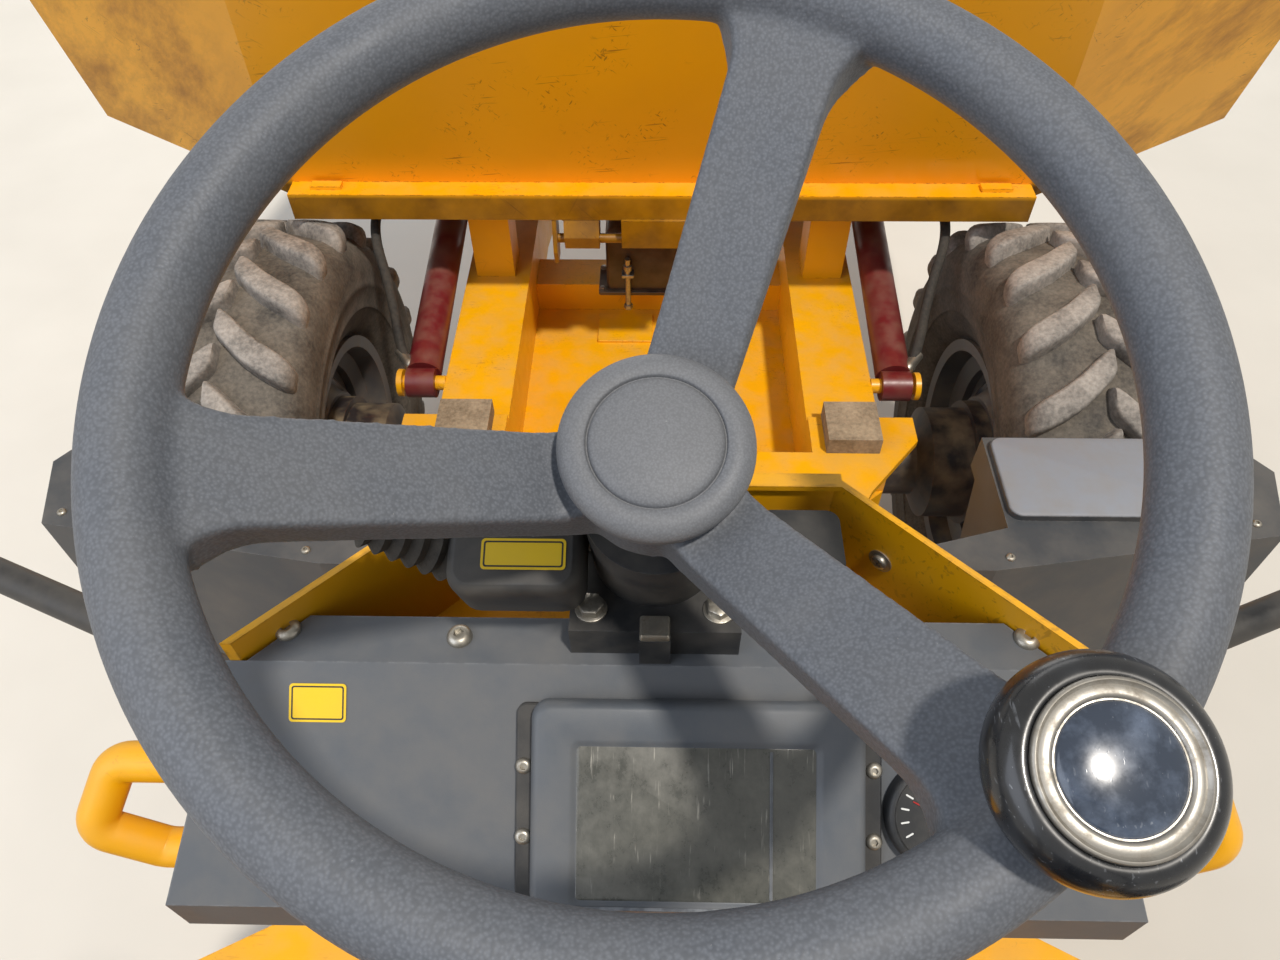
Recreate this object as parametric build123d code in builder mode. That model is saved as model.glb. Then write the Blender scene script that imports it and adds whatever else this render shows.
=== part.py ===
"""Articulated site dumper with a front-tipping skip, four driven wheels and an open driving place.

The frame is +Z up with the ground at Z 0, the machine drives towards -Y, and +X is the driver's left.
The origin is on the ground at the middle of the machine's length and width. All sizes are in millimetres.
"""
from build123d import *
from math import atan2, cos, degrees, radians, sin
import os

os.makedirs("parts", exist_ok=True)

# Fits
SEAT = 0.2                       # gap at a fixed seat between two pieces
FIT = 0.08                       # radial running fit of a pin or shaft in its bore
RUN = 6.0                        # gap that a moving piece keeps from its neighbours

# Wheels and axles
TYRE_R = 475.0
TYRE_W = 290.0
CASE_R = 448.0                   # carcass between the lugs
BEAD_R = 236.0
BEAD_HALF = 97.0                 # bead's seat on each side of the tyre's middle
TRACK_HALF = 720.0
FRONT_AXLE_Y = -660.0
REAR_AXLE_Y = 1290.0
HUB_R = 60.0
AXLE_R = 66.0
DISC_X = 647.0                   # face of the hub flange that the wheel disc bolts to
LUGS = 13                        # lugs on each half of the tread
LUG_REACH = 60.0                 # half of a lug's length along the tread

# Centre pivot and steering cylinder
PIVOT_Y = 230.0
PIVOT_R = 30.0
NECK_LOW, NECK_TOP = 474.0, 646.0
FORK_T = 16.0
STEER_BASE = (290.0, 700.0)      # X, Y of the barrel's eye on the rear frame
STEER_EYE = (320.0, -20.0)       # X, Y of the rod's eye on the front frame
STEER_Z = 510.0

# Skip pivot and tipping cylinders
TIP_Y, TIP_Z = -1450.0, 560.0
TIP_PIN_R = 25.0
RAM_X = 446.0
RAM_BASE = (-660.0, 690.0)       # Y, Z of the barrel's eye on the front frame
RAM_EYE = (-1362.0, 778.0)       # Y, Z of the rod's eye on the skip
RAM_R = 33.0
ROD_R = 17.0
EYE_R = 28.0
EYE_PIN_R = 14.0

# Skip tub
SKIP_T = 6.0
SKIP_HALF = 1030.0
SKIP_BASE_HALF = 700.0
SKIP_REAR = (-922.0, 930.0)      # Y, Z where the rear wall meets the floor
SKIP_KNEE = (-1500.0, 800.0)     # Y, Z where the floor meets the front ramp
SKIP_LIP = (-2000.0, 1150.0)
SKIP_TOP = 1550.0
SKIP_LEAN = 0.30                 # rearward lean of the rear wall for each unit of height
SKIP_RIM = 24.0                  # how far the rim stands out round the top

# Front frame
BEAM_IN, BEAM_OUT = 270.0, 400.0
BEAM_LOW, BEAM_TOP = 541.0, 700.0
BEAM_REAR = -440.0
NECK_T = 14.0
REST_TOP = (893.0, 875.0)        # top of the skip's rest posts at their rear and front
GUARD_TOP = 950.0
GUARD_T = 6.0

# Driving place
PLATFORM_Z = 900.0
PLATFORM_T = 8.0
PLATFORM_FRONT = 350.0
PLATFORM_REAR = 720.0
CONSOLE_TOP = 1515.0
SHEET = 4.0
DASH_BEND = (380.0, 1498.0)      # Y, Z of the bend at the top of the dash face
DASH_LOW = (480.0, 1419.0)       # Y, Z of the lower edge of the dash face
DASH_HALF = 250.0
DASH_EDGE = 352.0                # front edge of the flat flange
MIRROR_Y = 238.0                 # face of the mirrors
WHEEL_Y, WHEEL_Z, WHEEL_TILT = 400.0, 1720.0, 21.4
RIM_R, RIM_TUBE_R = 172.0, 15.0
SPOKE_TURN, SPOKE_W = 71.0, 37.0
HUB_LOW, HUB_TOP = -100.0, -62.0
SHAFT_R = 12.0
KNOB_R, KNOB_TURN = 165.0, -46.0

# Rear body
CHASSIS_IN, CHASSIS_OUT = 165.0, 190.0
CHASSIS_LOW, CHASSIS_TOP = 440.0, 720.0
TAIL_Y = 2000.0
WEIGHT_DEPTH = 120.0             # tail weight behind the side rails
CHASSIS_FRONT, CHASSIS_REAR = 330.0, TAIL_Y - WEIGHT_DEPTH
SEAT_BOX_FRONT, SEAT_BOX_REAR, SEAT_BOX_TOP = 724.0, 1236.0, 1225.0
BODY_HALF = 330.0
BONNET_TOP = 1350.0
HINGE_Y, HINGE_Z = CHASSIS_REAR + 30, 1244.0    # bonnet's hinge line
HINGE_PIN_R = 6.0
TOW_PIN_R = 13.0
HOOP_X, HOOP_Y, HOOP_TOP, HOOP_HINGE_Z = 430.0, 1310.0, 2760.0, 1750.0

WHEEL_PLANE = Plane((0, WHEEL_Y, WHEEL_Z), x_dir=(-1, 0, 0),
                    z_dir=(0, sin(radians(WHEEL_TILT)), cos(radians(WHEEL_TILT))))
DASH_SLOPE = (Vector(0, *DASH_BEND) - Vector(0, *DASH_LOW)).normalized()
DASH_PLANE = Plane((0, *DASH_LOW), x_dir=(-1, 0, 0), z_dir=Vector(-1, 0, 0).cross(DASH_SLOPE))
SIDES = (-1, 1)


def save(piece, name):
    """Labels a finished piece and writes it under its node's name."""
    piece.label = name
    export_step(piece, f"parts/{name}.step")


def yz(x):
    """A sketch plane at X = x whose first axis is +Y and second +Z; extruding goes towards +X."""
    return Plane((x, 0, 0), x_dir=(0, 1, 0), z_dir=(1, 0, 0))


def span(side, near, width):
    """The lower X of a plate that starts at a distance from the middle and is this wide."""
    return near if side > 0 else -near - width


def tube(points, radius, bend):
    """A round bar bent along a path of corner points."""
    with BuildPart() as bar:
        with BuildLine() as path:
            FilletPolyline(*points, radius=bend)
        with BuildSketch(Plane(path.line @ 0, z_dir=path.line % 0)):
            Circle(radius)
        sweep()
    return bar.part


# Wheels

def tyre():
    """A tyre about the X axis: a carcass of flat facets with a chevron lug on each."""
    half = TYRE_W / 2
    facets = 2 * LUGS
    step = 360 / facets
    # distance from the middle and outer radius of each section of the carcass
    sections = [(BEAD_HALF, BEAD_R + 22), (half - 2, BEAD_R + 98), (half - 10, CASE_R - 46), (half - 70, CASE_R)]
    lug_top = (TYRE_R ** 2 - LUG_REACH ** 2) ** 0.5
    with BuildPart() as lug:
        with BuildSketch(Plane.XY.offset(CASE_R - 40)):
            Polygon((-14, -LUG_REACH), (-14, 6), (122, LUG_REACH), (122, -10), align=None)
        extrude(amount=80)
        with BuildSketch(Plane.XZ):
            Polygon((-14, CASE_R - 40), (-14, lug_top), (92, lug_top), (122, CASE_R), (122, CASE_R - 40), align=None)
        extrude(amount=100, both=True, mode=Mode.INTERSECT)
    with BuildPart() as body:
        for x_at, radius in [(-x_at, radius) for x_at, radius in sections] + sections[::-1]:
            with BuildSketch(yz(x_at)):
                RegularPolygon(radius, facets, rotation=step / 2)
        loft(ruled=True)
        with BuildSketch(yz(-half)):
            RegularPolygon(BEAD_R, facets, major_radius=False)
        extrude(amount=TYRE_W, mode=Mode.SUBTRACT)
        add([lug.part.rotate(Axis.X, 2 * count * step) for count in range(LUGS)])
        add([lug.part.mirror(Plane.YZ).rotate(Axis.X, (2 * count + 1) * step) for count in range(LUGS)])
    # a lug's corner stands straight down on the ground
    return body.part.rotate(Axis.X, degrees(atan2(LUG_REACH, lug_top)))


def rim():
    """A wheel about the X axis: a welded well with two flanges and a dished disc bored for the hub."""
    disc = DISC_X + SEAT - TRACK_HALF
    # distance from the middle and radius down the outer face of the well, and back up its inner face
    outside = [(-BEAD_HALF - 12, BEAD_R + 14), (-BEAD_HALF - 3, BEAD_R + 14), (-BEAD_HALF - 1, BEAD_R - SEAT),
               (-60, BEAD_R - 6), (-45, BEAD_R - 34)]
    inside = [(-52, BEAD_R - 44), (-67, BEAD_R - 15), (-BEAD_HALF - 9, BEAD_R - 9)]
    well = outside + [(-x_at, radius) for x_at, radius in outside[::-1]]
    well += [(-x_at, radius) for x_at, radius in inside[::-1]] + inside
    with BuildPart() as wheel:
        with BuildSketch(Plane.XY):
            Polygon(*well, align=None)
        revolve(axis=Axis.X)
        with BuildSketch(Plane.XY):
            Polygon((disc, HUB_R + FIT), (disc + 12, HUB_R + FIT), (disc + 12, 128), (disc + 50, 170),
                    (disc + 50, BEAD_R - 40), (disc + 38, BEAD_R - 40), (disc + 38, 174), (disc, 134), align=None)
        revolve(axis=Axis.X)
        with BuildSketch(yz(disc + 20)):
            with PolarLocations(152, 8):
                Circle(17)
        extrude(amount=60, both=True, mode=Mode.SUBTRACT)
    return wheel.part


# corner, side of the machine, axle's Y
CORNERS = [("front_left", 1, FRONT_AXLE_Y), ("front_right", -1, FRONT_AXLE_Y),
           ("rear_left", 1, REAR_AXLE_Y), ("rear_right", -1, REAR_AXLE_Y)]
tyre_shape = tyre()
rim_shape = rim()
for corner, side, axle_y in CORNERS:
    place = Location((side * TRACK_HALF, axle_y, TYRE_R))
    save(tyre_shape.moved(place), f"tyre_{corner}")
    save((rim_shape if side > 0 else rim_shape.mirror(Plane.YZ)).moved(place), f"rim_{corner}")


def axle(y_mid, gap=0.0):
    """A rigid axle with a middle casing, a wheel motor and a hub flange at each end, grown by a gap."""
    # distance from the middle and radius along one half
    half = [(0, 118), (60, 112), (120, AXLE_R), (DISC_X - 130, AXLE_R), (DISC_X - 110, 112), (DISC_X - 30, 112),
            (DISC_X - 30, 126), (DISC_X, 126), (DISC_X, HUB_R), (DISC_X + 46, HUB_R)]
    profile = [(-x_at, radius + gap) for x_at, radius in half[::-1]] + [(x_at, radius + gap) for x_at, radius in half[1:]]
    with BuildPart() as beam:
        with BuildSketch(Plane.XY):
            Polygon((-DISC_X - 46, 0), *profile, (DISC_X + 46, 0), align=None)
        revolve(axis=Axis.X)
    return beam.part.moved(Location((0, y_mid, TYRE_R)))


save(axle(FRONT_AXLE_Y), "front_axle")
save(axle(REAR_AXLE_Y), "rear_axle")

# Front frame: two beams, a floor plate and a neck that narrows to the centre pivot
with BuildPart() as front_frame:
    for side in SIDES:
        with BuildSketch(yz(span(side, BEAM_IN, BEAM_OUT - BEAM_IN))):
            Polygon((BEAM_REAR, BEAM_LOW), (BEAM_REAR, BEAM_TOP), (TIP_Y + 200, BEAM_TOP), (TIP_Y + 40, TIP_Z + 55),
                    (TIP_Y - 45, TIP_Z + 55), (TIP_Y - 45, TIP_Z - 50), (TIP_Y + 60, TIP_Z - 50),
                    (TIP_Y + 160, BEAM_LOW), align=None)
        extrude(amount=BEAM_OUT - BEAM_IN)
        with BuildSketch(yz(span(side, BEAM_IN - 60, 60))):
            with Locations((TIP_Y, TIP_Z)):
                Circle(TIP_PIN_R)
        extrude(amount=60)
        with BuildSketch(yz(span(side, BEAM_OUT, RAM_X + 42 - BEAM_OUT))):
            with Locations(RAM_BASE):
                Circle(EYE_PIN_R)
        extrude(amount=RAM_X + 42 - BEAM_OUT)
        with BuildSketch(yz(span(side, RAM_X + 34, 10))):
            with Locations(RAM_BASE):
                Circle(EYE_PIN_R + 12)
        extrude(amount=10)
        with Locations((side * 335, FRONT_AXLE_Y, (BEAM_LOW + TYRE_R) / 2)):
            Box(110, 190, BEAM_LOW - TYRE_R)
        with BuildSketch(yz(span(side, 300, 80))):
            Polygon((-970, BEAM_TOP - 10), (-970, REST_TOP[0]), (-1050, REST_TOP[1]), (-1050, BEAM_TOP - 10), align=None)
        extrude(amount=80)
    with BuildSketch(Plane.XY.offset(BEAM_LOW)):
        with Locations((0, (BEAM_REAR - 1200) / 2)):
            Rectangle(2 * BEAM_IN, 1200 + BEAM_REAR)
    extrude(amount=10)
    with BuildSketch(yz(-BEAM_IN)):
        with Locations((-1090, BEAM_LOW + 40)):
            Rectangle(90, 80)
    extrude(amount=2 * BEAM_IN)
    with BuildSketch(Plane.XY.offset(BEAM_TOP)):
        Polygon((-457, -499), (-457, -555), (-270, -555), (-270, -470),
                (270, -470), (270, -555), (457, -555), (457, -499),
                (362, -384), (190, -80), (190, -40), (-190, -40), (-190, -80), (-362, -384), align=None)
    extrude(amount=NECK_T)
    with BuildSketch(Plane.XY.offset(NECK_LOW)):
        Polygon((-400, -440), (400, -440), (270, -330), (78, 60), (78, PIVOT_Y), (-78, PIVOT_Y), (-78, 60),
                (-270, -330), align=None)
        with Locations((0, PIVOT_Y)):
            Circle(78)
    extrude(amount=NECK_TOP - NECK_LOW)
    with BuildSketch(Plane.XY.offset(NECK_TOP)):
        Polygon((-270, -470), (270, -470), (270, -340), (150, -90), (-150, -90), (-270, -340), align=None)
    extrude(amount=BEAM_TOP - NECK_TOP)
    # gap at the eye, with a plate above and below it
    for low in (STEER_Z - 28 - 12, STEER_Z + 28):
        with BuildSketch(Plane.XY.offset(low)):
            Polygon((60, 40), (STEER_EYE[0] + 8, STEER_EYE[1] + 34), (STEER_EYE[0] + 36, STEER_EYE[1]),
                    (STEER_EYE[0] + 20, STEER_EYE[1] - 30), (210, -240), align=None)
        extrude(amount=12)
    for low in (STEER_Z - 48, STEER_Z + 40):
        with BuildSketch(Plane.XY.offset(low)):
            with Locations(STEER_EYE):
                Circle(EYE_PIN_R + 6)
        extrude(amount=8)
    with BuildSketch(Plane.XY.offset(NECK_LOW)):
        with Locations((0, PIVOT_Y)):
            Circle(PIVOT_R + FIT)
    extrude(amount=NECK_TOP - NECK_LOW, mode=Mode.SUBTRACT)
    add(axle(FRONT_AXLE_Y, SEAT), mode=Mode.SUBTRACT)
save(front_frame.part, "front_frame")

# Rubber pads under the skip's floor and on the beams
with BuildPart() as rest_pads:
    for side in SIDES:
        with Locations((side * 340, -514, BEAM_TOP + NECK_T + SEAT + 17)):
            Box(92, 92, 34)
        with BuildSketch(yz(span(side, 300, 80))):
            Polygon((-970, REST_TOP[0] + SEAT), (-970, REST_TOP[0] + 20), (-1050, REST_TOP[1] + 20),
                    (-1050, REST_TOP[1] + SEAT), align=None)
        extrude(amount=80)
save(rest_pads.part, "rest_pads")

# Front mudguards: a moulded top and rear face, an outer cheek and a carrier from the neck's plate
CARRIER_FOOT = BEAM_TOP + NECK_T + SEAT
with BuildPart() as front_mudguards:
    for side in SIDES:
        with BuildSketch(Plane.XY.offset(560)):
            Polygon((side * 460, -290), (side * 800, -290), (side * 845, -230), (side * 815, -122), (side * 430, -62),
                    (side * 340, -62), (side * 340, -96), (side * 460, -130), align=None)
        extrude(amount=GUARD_TOP - 560)
        with BuildSketch(Plane.XY.offset(550)):
            Polygon((side * 466, -300), (side * 790, -300), (side * 838, -236), (side * 808, -128), (side * 428, -69),
                    (side * 330, -69), (side * 330, -102), (side * 466, -138), align=None)
        extrude(amount=GUARD_TOP - GUARD_T - 550, mode=Mode.SUBTRACT)
    # the rear face gets lower towards the outside, and its front edge follows the tyre
    with BuildSketch(Plane.XZ.offset(500)):
        Polygon((-900, 500), (-900, 560), (-700, 600), (-560, 760), (-330, 820), (-330, 500), align=None)
        Polygon((900, 500), (900, 560), (700, 600), (560, 760), (330, 820), (330, 500), align=None)
    extrude(amount=-500, mode=Mode.SUBTRACT)
    with BuildSketch(yz(-900)):
        Polygon((-320, GUARD_TOP - 60), (-320, 500), (-180, 500), (-214, 700), (-262, GUARD_TOP - 60), align=None)
    extrude(amount=1800, mode=Mode.SUBTRACT)
    for side in SIDES:
        with BuildSketch(Plane.XZ.offset(93)):
            Polygon((side * 136, CARRIER_FOOT), (side * 190, CARRIER_FOOT), (side * 430, 868),
                    (side * 430, GUARD_TOP - GUARD_T), (side * 395, GUARD_TOP - GUARD_T), (side * 395, 886),
                    (side * 136, 744), align=None)
        extrude(amount=12)
        with Locations((side * 163, -112, CARRIER_FOOT + 4)):
            Box(54, 54, 8)
    # raised tread plate on the driver's right
    with BuildSketch(Plane.XY.offset(GUARD_TOP)):
        with Locations((-620, -212)):
            RectangleRounded(310, 140, 16)
    extrude(amount=9)
save(front_mudguards.part, "front_mudguards")


# Skip: a welded tub open at the top and at the front lip

def tub(inset, mouth):
    """The tub's outline as a solid, each wall moved in by the inset and the mouth raised."""
    wall_half = SKIP_HALF - SKIP_RIM
    ramp = (Vector(0, *SKIP_LIP) - Vector(0, *SKIP_KNEE)).normalized()
    lip = Vector(0, *SKIP_LIP) + ramp * mouth
    lean_top = SKIP_REAR[0] + SKIP_LEAN * (SKIP_TOP + mouth - SKIP_REAR[1])
    with BuildPart() as block:
        with BuildSketch(yz(-SKIP_HALF - 50)):
            if mouth:
                Polygon(SKIP_REAR, SKIP_KNEE, (lip.Y, lip.Z), (lip.Y, SKIP_TOP + mouth), (lean_top, SKIP_TOP + mouth),
                        align=None)
                offset(amount=-inset, kind=Kind.INTERSECTION)
            else:
                Polygon(SKIP_REAR, SKIP_KNEE, SKIP_LIP, (-1960, 1220), (-1560, 1480), (lean_top, SKIP_TOP), align=None)
        extrude(amount=2 * SKIP_HALF + 100)
        section = Plane((0, *SKIP_REAR), x_dir=(1, 0, 0), z_dir=Vector(0, *SKIP_KNEE) - Vector(0, *SKIP_REAR))
        with BuildSketch(section.offset(-800)):
            Polygon((-SKIP_BASE_HALF, 0), (SKIP_BASE_HALF, 0), (wall_half, 135), (wall_half, 1500),
                    (-wall_half, 1500), (-wall_half, 135), align=None)
            if inset:
                offset(amount=-inset, kind=Kind.INTERSECTION)
        extrude(amount=2400, mode=Mode.INTERSECT)
        for side in SIDES:
            low = Vector(side * SKIP_BASE_HALF, *SKIP_REAR)
            high = Vector(side * 640, SKIP_REAR[0] + SKIP_LEAN * 430, SKIP_REAR[1] + 430)
            out = Vector(side * 330, -88, 0)
            normal = (high - low).cross(out).normalized() * side
            with BuildSketch(Plane(low - normal * inset, x_dir=out.normalized(), z_dir=normal)):
                Rectangle(3000, 3000)
            extrude(amount=900, mode=Mode.SUBTRACT)
    return block.part


with BuildPart() as skip:
    # rim round the top and stiffening strip along the lower edge of each side
    add(tub(-SKIP_RIM, 0))
    with BuildSketch(yz(-SKIP_HALF)):
        Polygon((-1900, SKIP_TOP - 40), (-1900, SKIP_TOP), (-600, SKIP_TOP), (-600, SKIP_TOP - 40), align=None)
    extrude(amount=2 * SKIP_HALF, mode=Mode.INTERSECT)
    add(tub(0, 0))
    add(tub(SKIP_T, 300), mode=Mode.SUBTRACT)
    # box flange across the foot of the rear wall, with two raised nubs
    with BuildSketch(yz(-680)):
        Polygon((-921, 908), (-870, 908), (-870, 960), (-930, 960), (-930, 932), align=None)
    extrude(amount=1360)
    for side in SIDES:
        with Locations((side * 612, -895, 963)):
            Box(56, 20, 8)
    # latch hooks that hang from the flange, and the bar between them
    for near, width, low in [(112, 66, 846), (192, 8, 812)]:
        with BuildSketch(yz(near)):
            Polygon((-912, 910), (-912, low + 30), (-900, low), (-868, low), (-858, low + 30), (-872, 910), align=None)
        extrude(amount=width)
    with BuildSketch(yz(-60)):
        with Locations((-885, 858)):
            Circle(9)
    extrude(amount=260)
    with BuildSketch(yz(-60)):
        Polygon((-906, 910), (-906, 850), (-864, 850), (-864, 910), align=None)
    extrude(amount=130)
    for side in SIDES:
        # start along X, width, outline in Y and Z
        ribs = [(205, 60, [(-960, 936), (-960, 880), (-1300, 770), (-1480, 740), (-1480, 812)]),
                (211, 36, [(-1330, 850), (TIP_Y + 44, TIP_Z + 6), (TIP_Y + 34, TIP_Z - 30), (TIP_Y, TIP_Z - 46),
                           (TIP_Y - 34, TIP_Z - 30), (TIP_Y - 44, TIP_Z + 6), (-1520, 830)]),
                (RAM_X - 32, 12, [(-1260, 870), (RAM_EYE[0] + 28, RAM_EYE[1] - 10), (RAM_EYE[0], RAM_EYE[1] - 28),
                                  (RAM_EYE[0] - 28, RAM_EYE[1] - 10), (-1460, 820)]),
                (RAM_X + 20, 12, [(-1260, 870), (RAM_EYE[0] + 28, RAM_EYE[1] - 10), (RAM_EYE[0], RAM_EYE[1] - 28),
                                  (RAM_EYE[0] - 28, RAM_EYE[1] - 10), (-1460, 820)])]
        for near, width, points in ribs:
            with BuildSketch(yz(span(side, near, width))):
                Polygon(*points, align=None)
            extrude(amount=width)
        for near in (RAM_X - 40, RAM_X + 32):
            with BuildSketch(yz(span(side, near, 8))):
                with Locations(RAM_EYE):
                    Circle(EYE_PIN_R + 6)
            extrude(amount=8)
        with BuildSketch(yz(span(side, 200, 60))):
            with Locations((TIP_Y, TIP_Z)):
                Circle(TIP_PIN_R + FIT)
        extrude(amount=60, mode=Mode.SUBTRACT)
    add(tub(SKIP_T, 300), mode=Mode.SUBTRACT)
save(skip.part, "skip")


def barrel(length, radius, rod_r, eye_width):
    """A hydraulic barrel along +Z from its eye at the origin, with a gland at its open end."""
    with BuildPart() as body:
        with BuildSketch(Plane.XY.offset(EYE_R - 6)):
            Circle(radius)
        extrude(amount=length - EYE_R + 6 - 24)
        with BuildSketch(Plane.XY.offset(length - 24)):
            Circle(radius - 4)
        extrude(amount=24)
        with BuildSketch(yz(-eye_width / 2)):
            Circle(EYE_R)
        extrude(amount=eye_width)
        with BuildSketch(yz(-eye_width / 2)):
            Circle(EYE_PIN_R + FIT)
        extrude(amount=eye_width, mode=Mode.SUBTRACT)
        with BuildSketch(Plane.XY.offset(EYE_R + 24)):
            Circle(rod_r + FIT)
        extrude(amount=length, mode=Mode.SUBTRACT)
    return body.part


def rod(length, radius, eye_width):
    """A piston rod along -Z from its eye at the origin; the eye holds its part of the pin."""
    with BuildPart() as body:
        with BuildSketch(Plane.XY.offset(-length)):
            Circle(radius)
        extrude(amount=length - EYE_R + 6)
        with BuildSketch(yz(-eye_width / 2)):
            Circle(EYE_R)
        extrude(amount=eye_width)
    return body.part


# Tipping cylinders, from the front frame's pins to the skip's brackets
ram_from = Vector(0, *RAM_BASE)
ram_to = Vector(0, *RAM_EYE)
ram_run = (ram_to - ram_from).length
ram_axis = (ram_to - ram_from).normalized()
for side, hand in [(1, "left"), (-1, "right")]:
    reach = Vector(side * RAM_X, 0, 0)
    save(barrel(ram_run - 60, RAM_R, ROD_R, 54).moved(Plane(ram_from + reach, x_dir=(1, 0, 0), z_dir=ram_axis).location),
         f"tip_barrel_{hand}")
    save(rod(400, ROD_R, 36).moved(Plane(ram_to + reach, x_dir=(1, 0, 0), z_dir=ram_axis).location),
         f"tip_rod_{hand}")

# Steering cylinder, from the rear frame to the front frame on the left
steer_from = Vector(*STEER_BASE, STEER_Z)
steer_to = Vector(*STEER_EYE, STEER_Z)
steer_axis = (steer_to - steer_from).normalized()
save(barrel(490, 30, 15, 50).moved(Plane(steer_from, x_dir=(0, 0, 1), z_dir=steer_axis).location), "steer_barrel")
save(rod(470, 15, 50).moved(Plane(steer_to, x_dir=(0, 0, 1), z_dir=steer_axis).location), "steer_rod")

# Rear frame: two side plates, cross boxes and a fork with the centre pin
with BuildPart() as rear_frame:
    for side in SIDES:
        with BuildSketch(yz(span(side, CHASSIS_IN, CHASSIS_OUT - CHASSIS_IN))):
            Polygon((CHASSIS_FRONT, CHASSIS_LOW), (CHASSIS_REAR, CHASSIS_LOW), (CHASSIS_REAR, CHASSIS_TOP),
                    (CHASSIS_FRONT, CHASSIS_TOP), align=None)
        extrude(amount=CHASSIS_OUT - CHASSIS_IN)
    # front and rear Y, bottom and top Z of each cross box
    for low_y, high_y, low_z, high_z in [(CHASSIS_FRONT, 390, CHASSIS_LOW, CHASSIS_TOP), (700, 760, 470, 690),
                                         (1040, 1080, 470, 690), (1440, 1500, 470, 670 - SEAT),
                                         (1740, 1800, 470, 670 - SEAT)]:
        with Locations((0, (low_y + high_y) / 2, (low_z + high_z) / 2)):
            Box(2 * CHASSIS_IN + 20, high_y - low_y, high_z - low_z)
    for low in (NECK_LOW - RUN - FORK_T, NECK_TOP + RUN):
        with BuildSketch(Plane.XY.offset(low)):
            Polygon((-78, PIVOT_Y), (78, PIVOT_Y), (CHASSIS_OUT, CHASSIS_FRONT + 10), (CHASSIS_OUT, 470),
                    (-CHASSIS_OUT, 470), (-CHASSIS_OUT, CHASSIS_FRONT + 10), align=None)
            with Locations((0, PIVOT_Y)):
                Circle(78)
        extrude(amount=FORK_T)
    with BuildSketch(Plane.XY.offset(NECK_LOW - RUN - FORK_T - 12)):
        with Locations((0, PIVOT_Y)):
            Circle(PIVOT_R)
    extrude(amount=NECK_TOP - NECK_LOW + 2 * RUN + 2 * FORK_T + 24)
    # plates below and above the steering cylinder's eye
    for low in (STEER_Z - 30 - 12, STEER_Z + 30):
        with BuildSketch(Plane.XY.offset(low)):
            Polygon((CHASSIS_OUT - 10, 640), (STEER_BASE[0] + 4, STEER_BASE[1] - 32),
                    (STEER_BASE[0] + 34, STEER_BASE[1]), (STEER_BASE[0] + 4, STEER_BASE[1] + 32),
                    (CHASSIS_OUT - 10, 780), align=None)
        extrude(amount=12)
    with BuildSketch(Plane.XY.offset(STEER_Z - 46)):
        with Locations(STEER_BASE):
            Circle(EYE_PIN_R)
    extrude(amount=92)
    for y_mid in (470, 690):
        with Locations((0, y_mid, 780)):
            Box(380, 60, 140)
    for side in SIDES:
        with Locations((side * 178, REAR_AXLE_Y, 475)):
            Box(60, 200, 170)
    add(axle(REAR_AXLE_Y, SEAT), mode=Mode.SUBTRACT)
save(rear_frame.part, "rear_frame")

# Tail weight with a tow jaw
with BuildPart() as rear_counterweight:
    with BuildSketch(Plane.XY.offset(430)):
        Polygon((-470, CHASSIS_REAR + SEAT), (470, CHASSIS_REAR + SEAT), (470, TAIL_Y - 60), (380, TAIL_Y),
                (-380, TAIL_Y), (-470, TAIL_Y - 60), align=None)
    extrude(amount=560)
    with Locations((0, TAIL_Y - 30, 520)):
        Box(110, 80, 50, mode=Mode.SUBTRACT)
    with BuildSketch(Plane.XY.offset(430)):
        with Locations((0, TAIL_Y - 28)):
            Circle(TOW_PIN_R)
    extrude(amount=170, mode=Mode.SUBTRACT)
save(rear_counterweight.part, "rear_counterweight")

# Engine: one block with its exhaust
with BuildPart() as engine:
    block_front, block_rear = SEAT_BOX_REAR + 149, CHASSIS_REAR - 45
    with Locations((0, (block_front + block_rear) / 2, 920)):
        Box(300, block_rear - block_front, 500)
    with BuildSketch(yz(150)):
        with Locations((1480, 1080)):
            Circle(55)
    extrude(amount=100)
save(engine.part, "engine")

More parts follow.
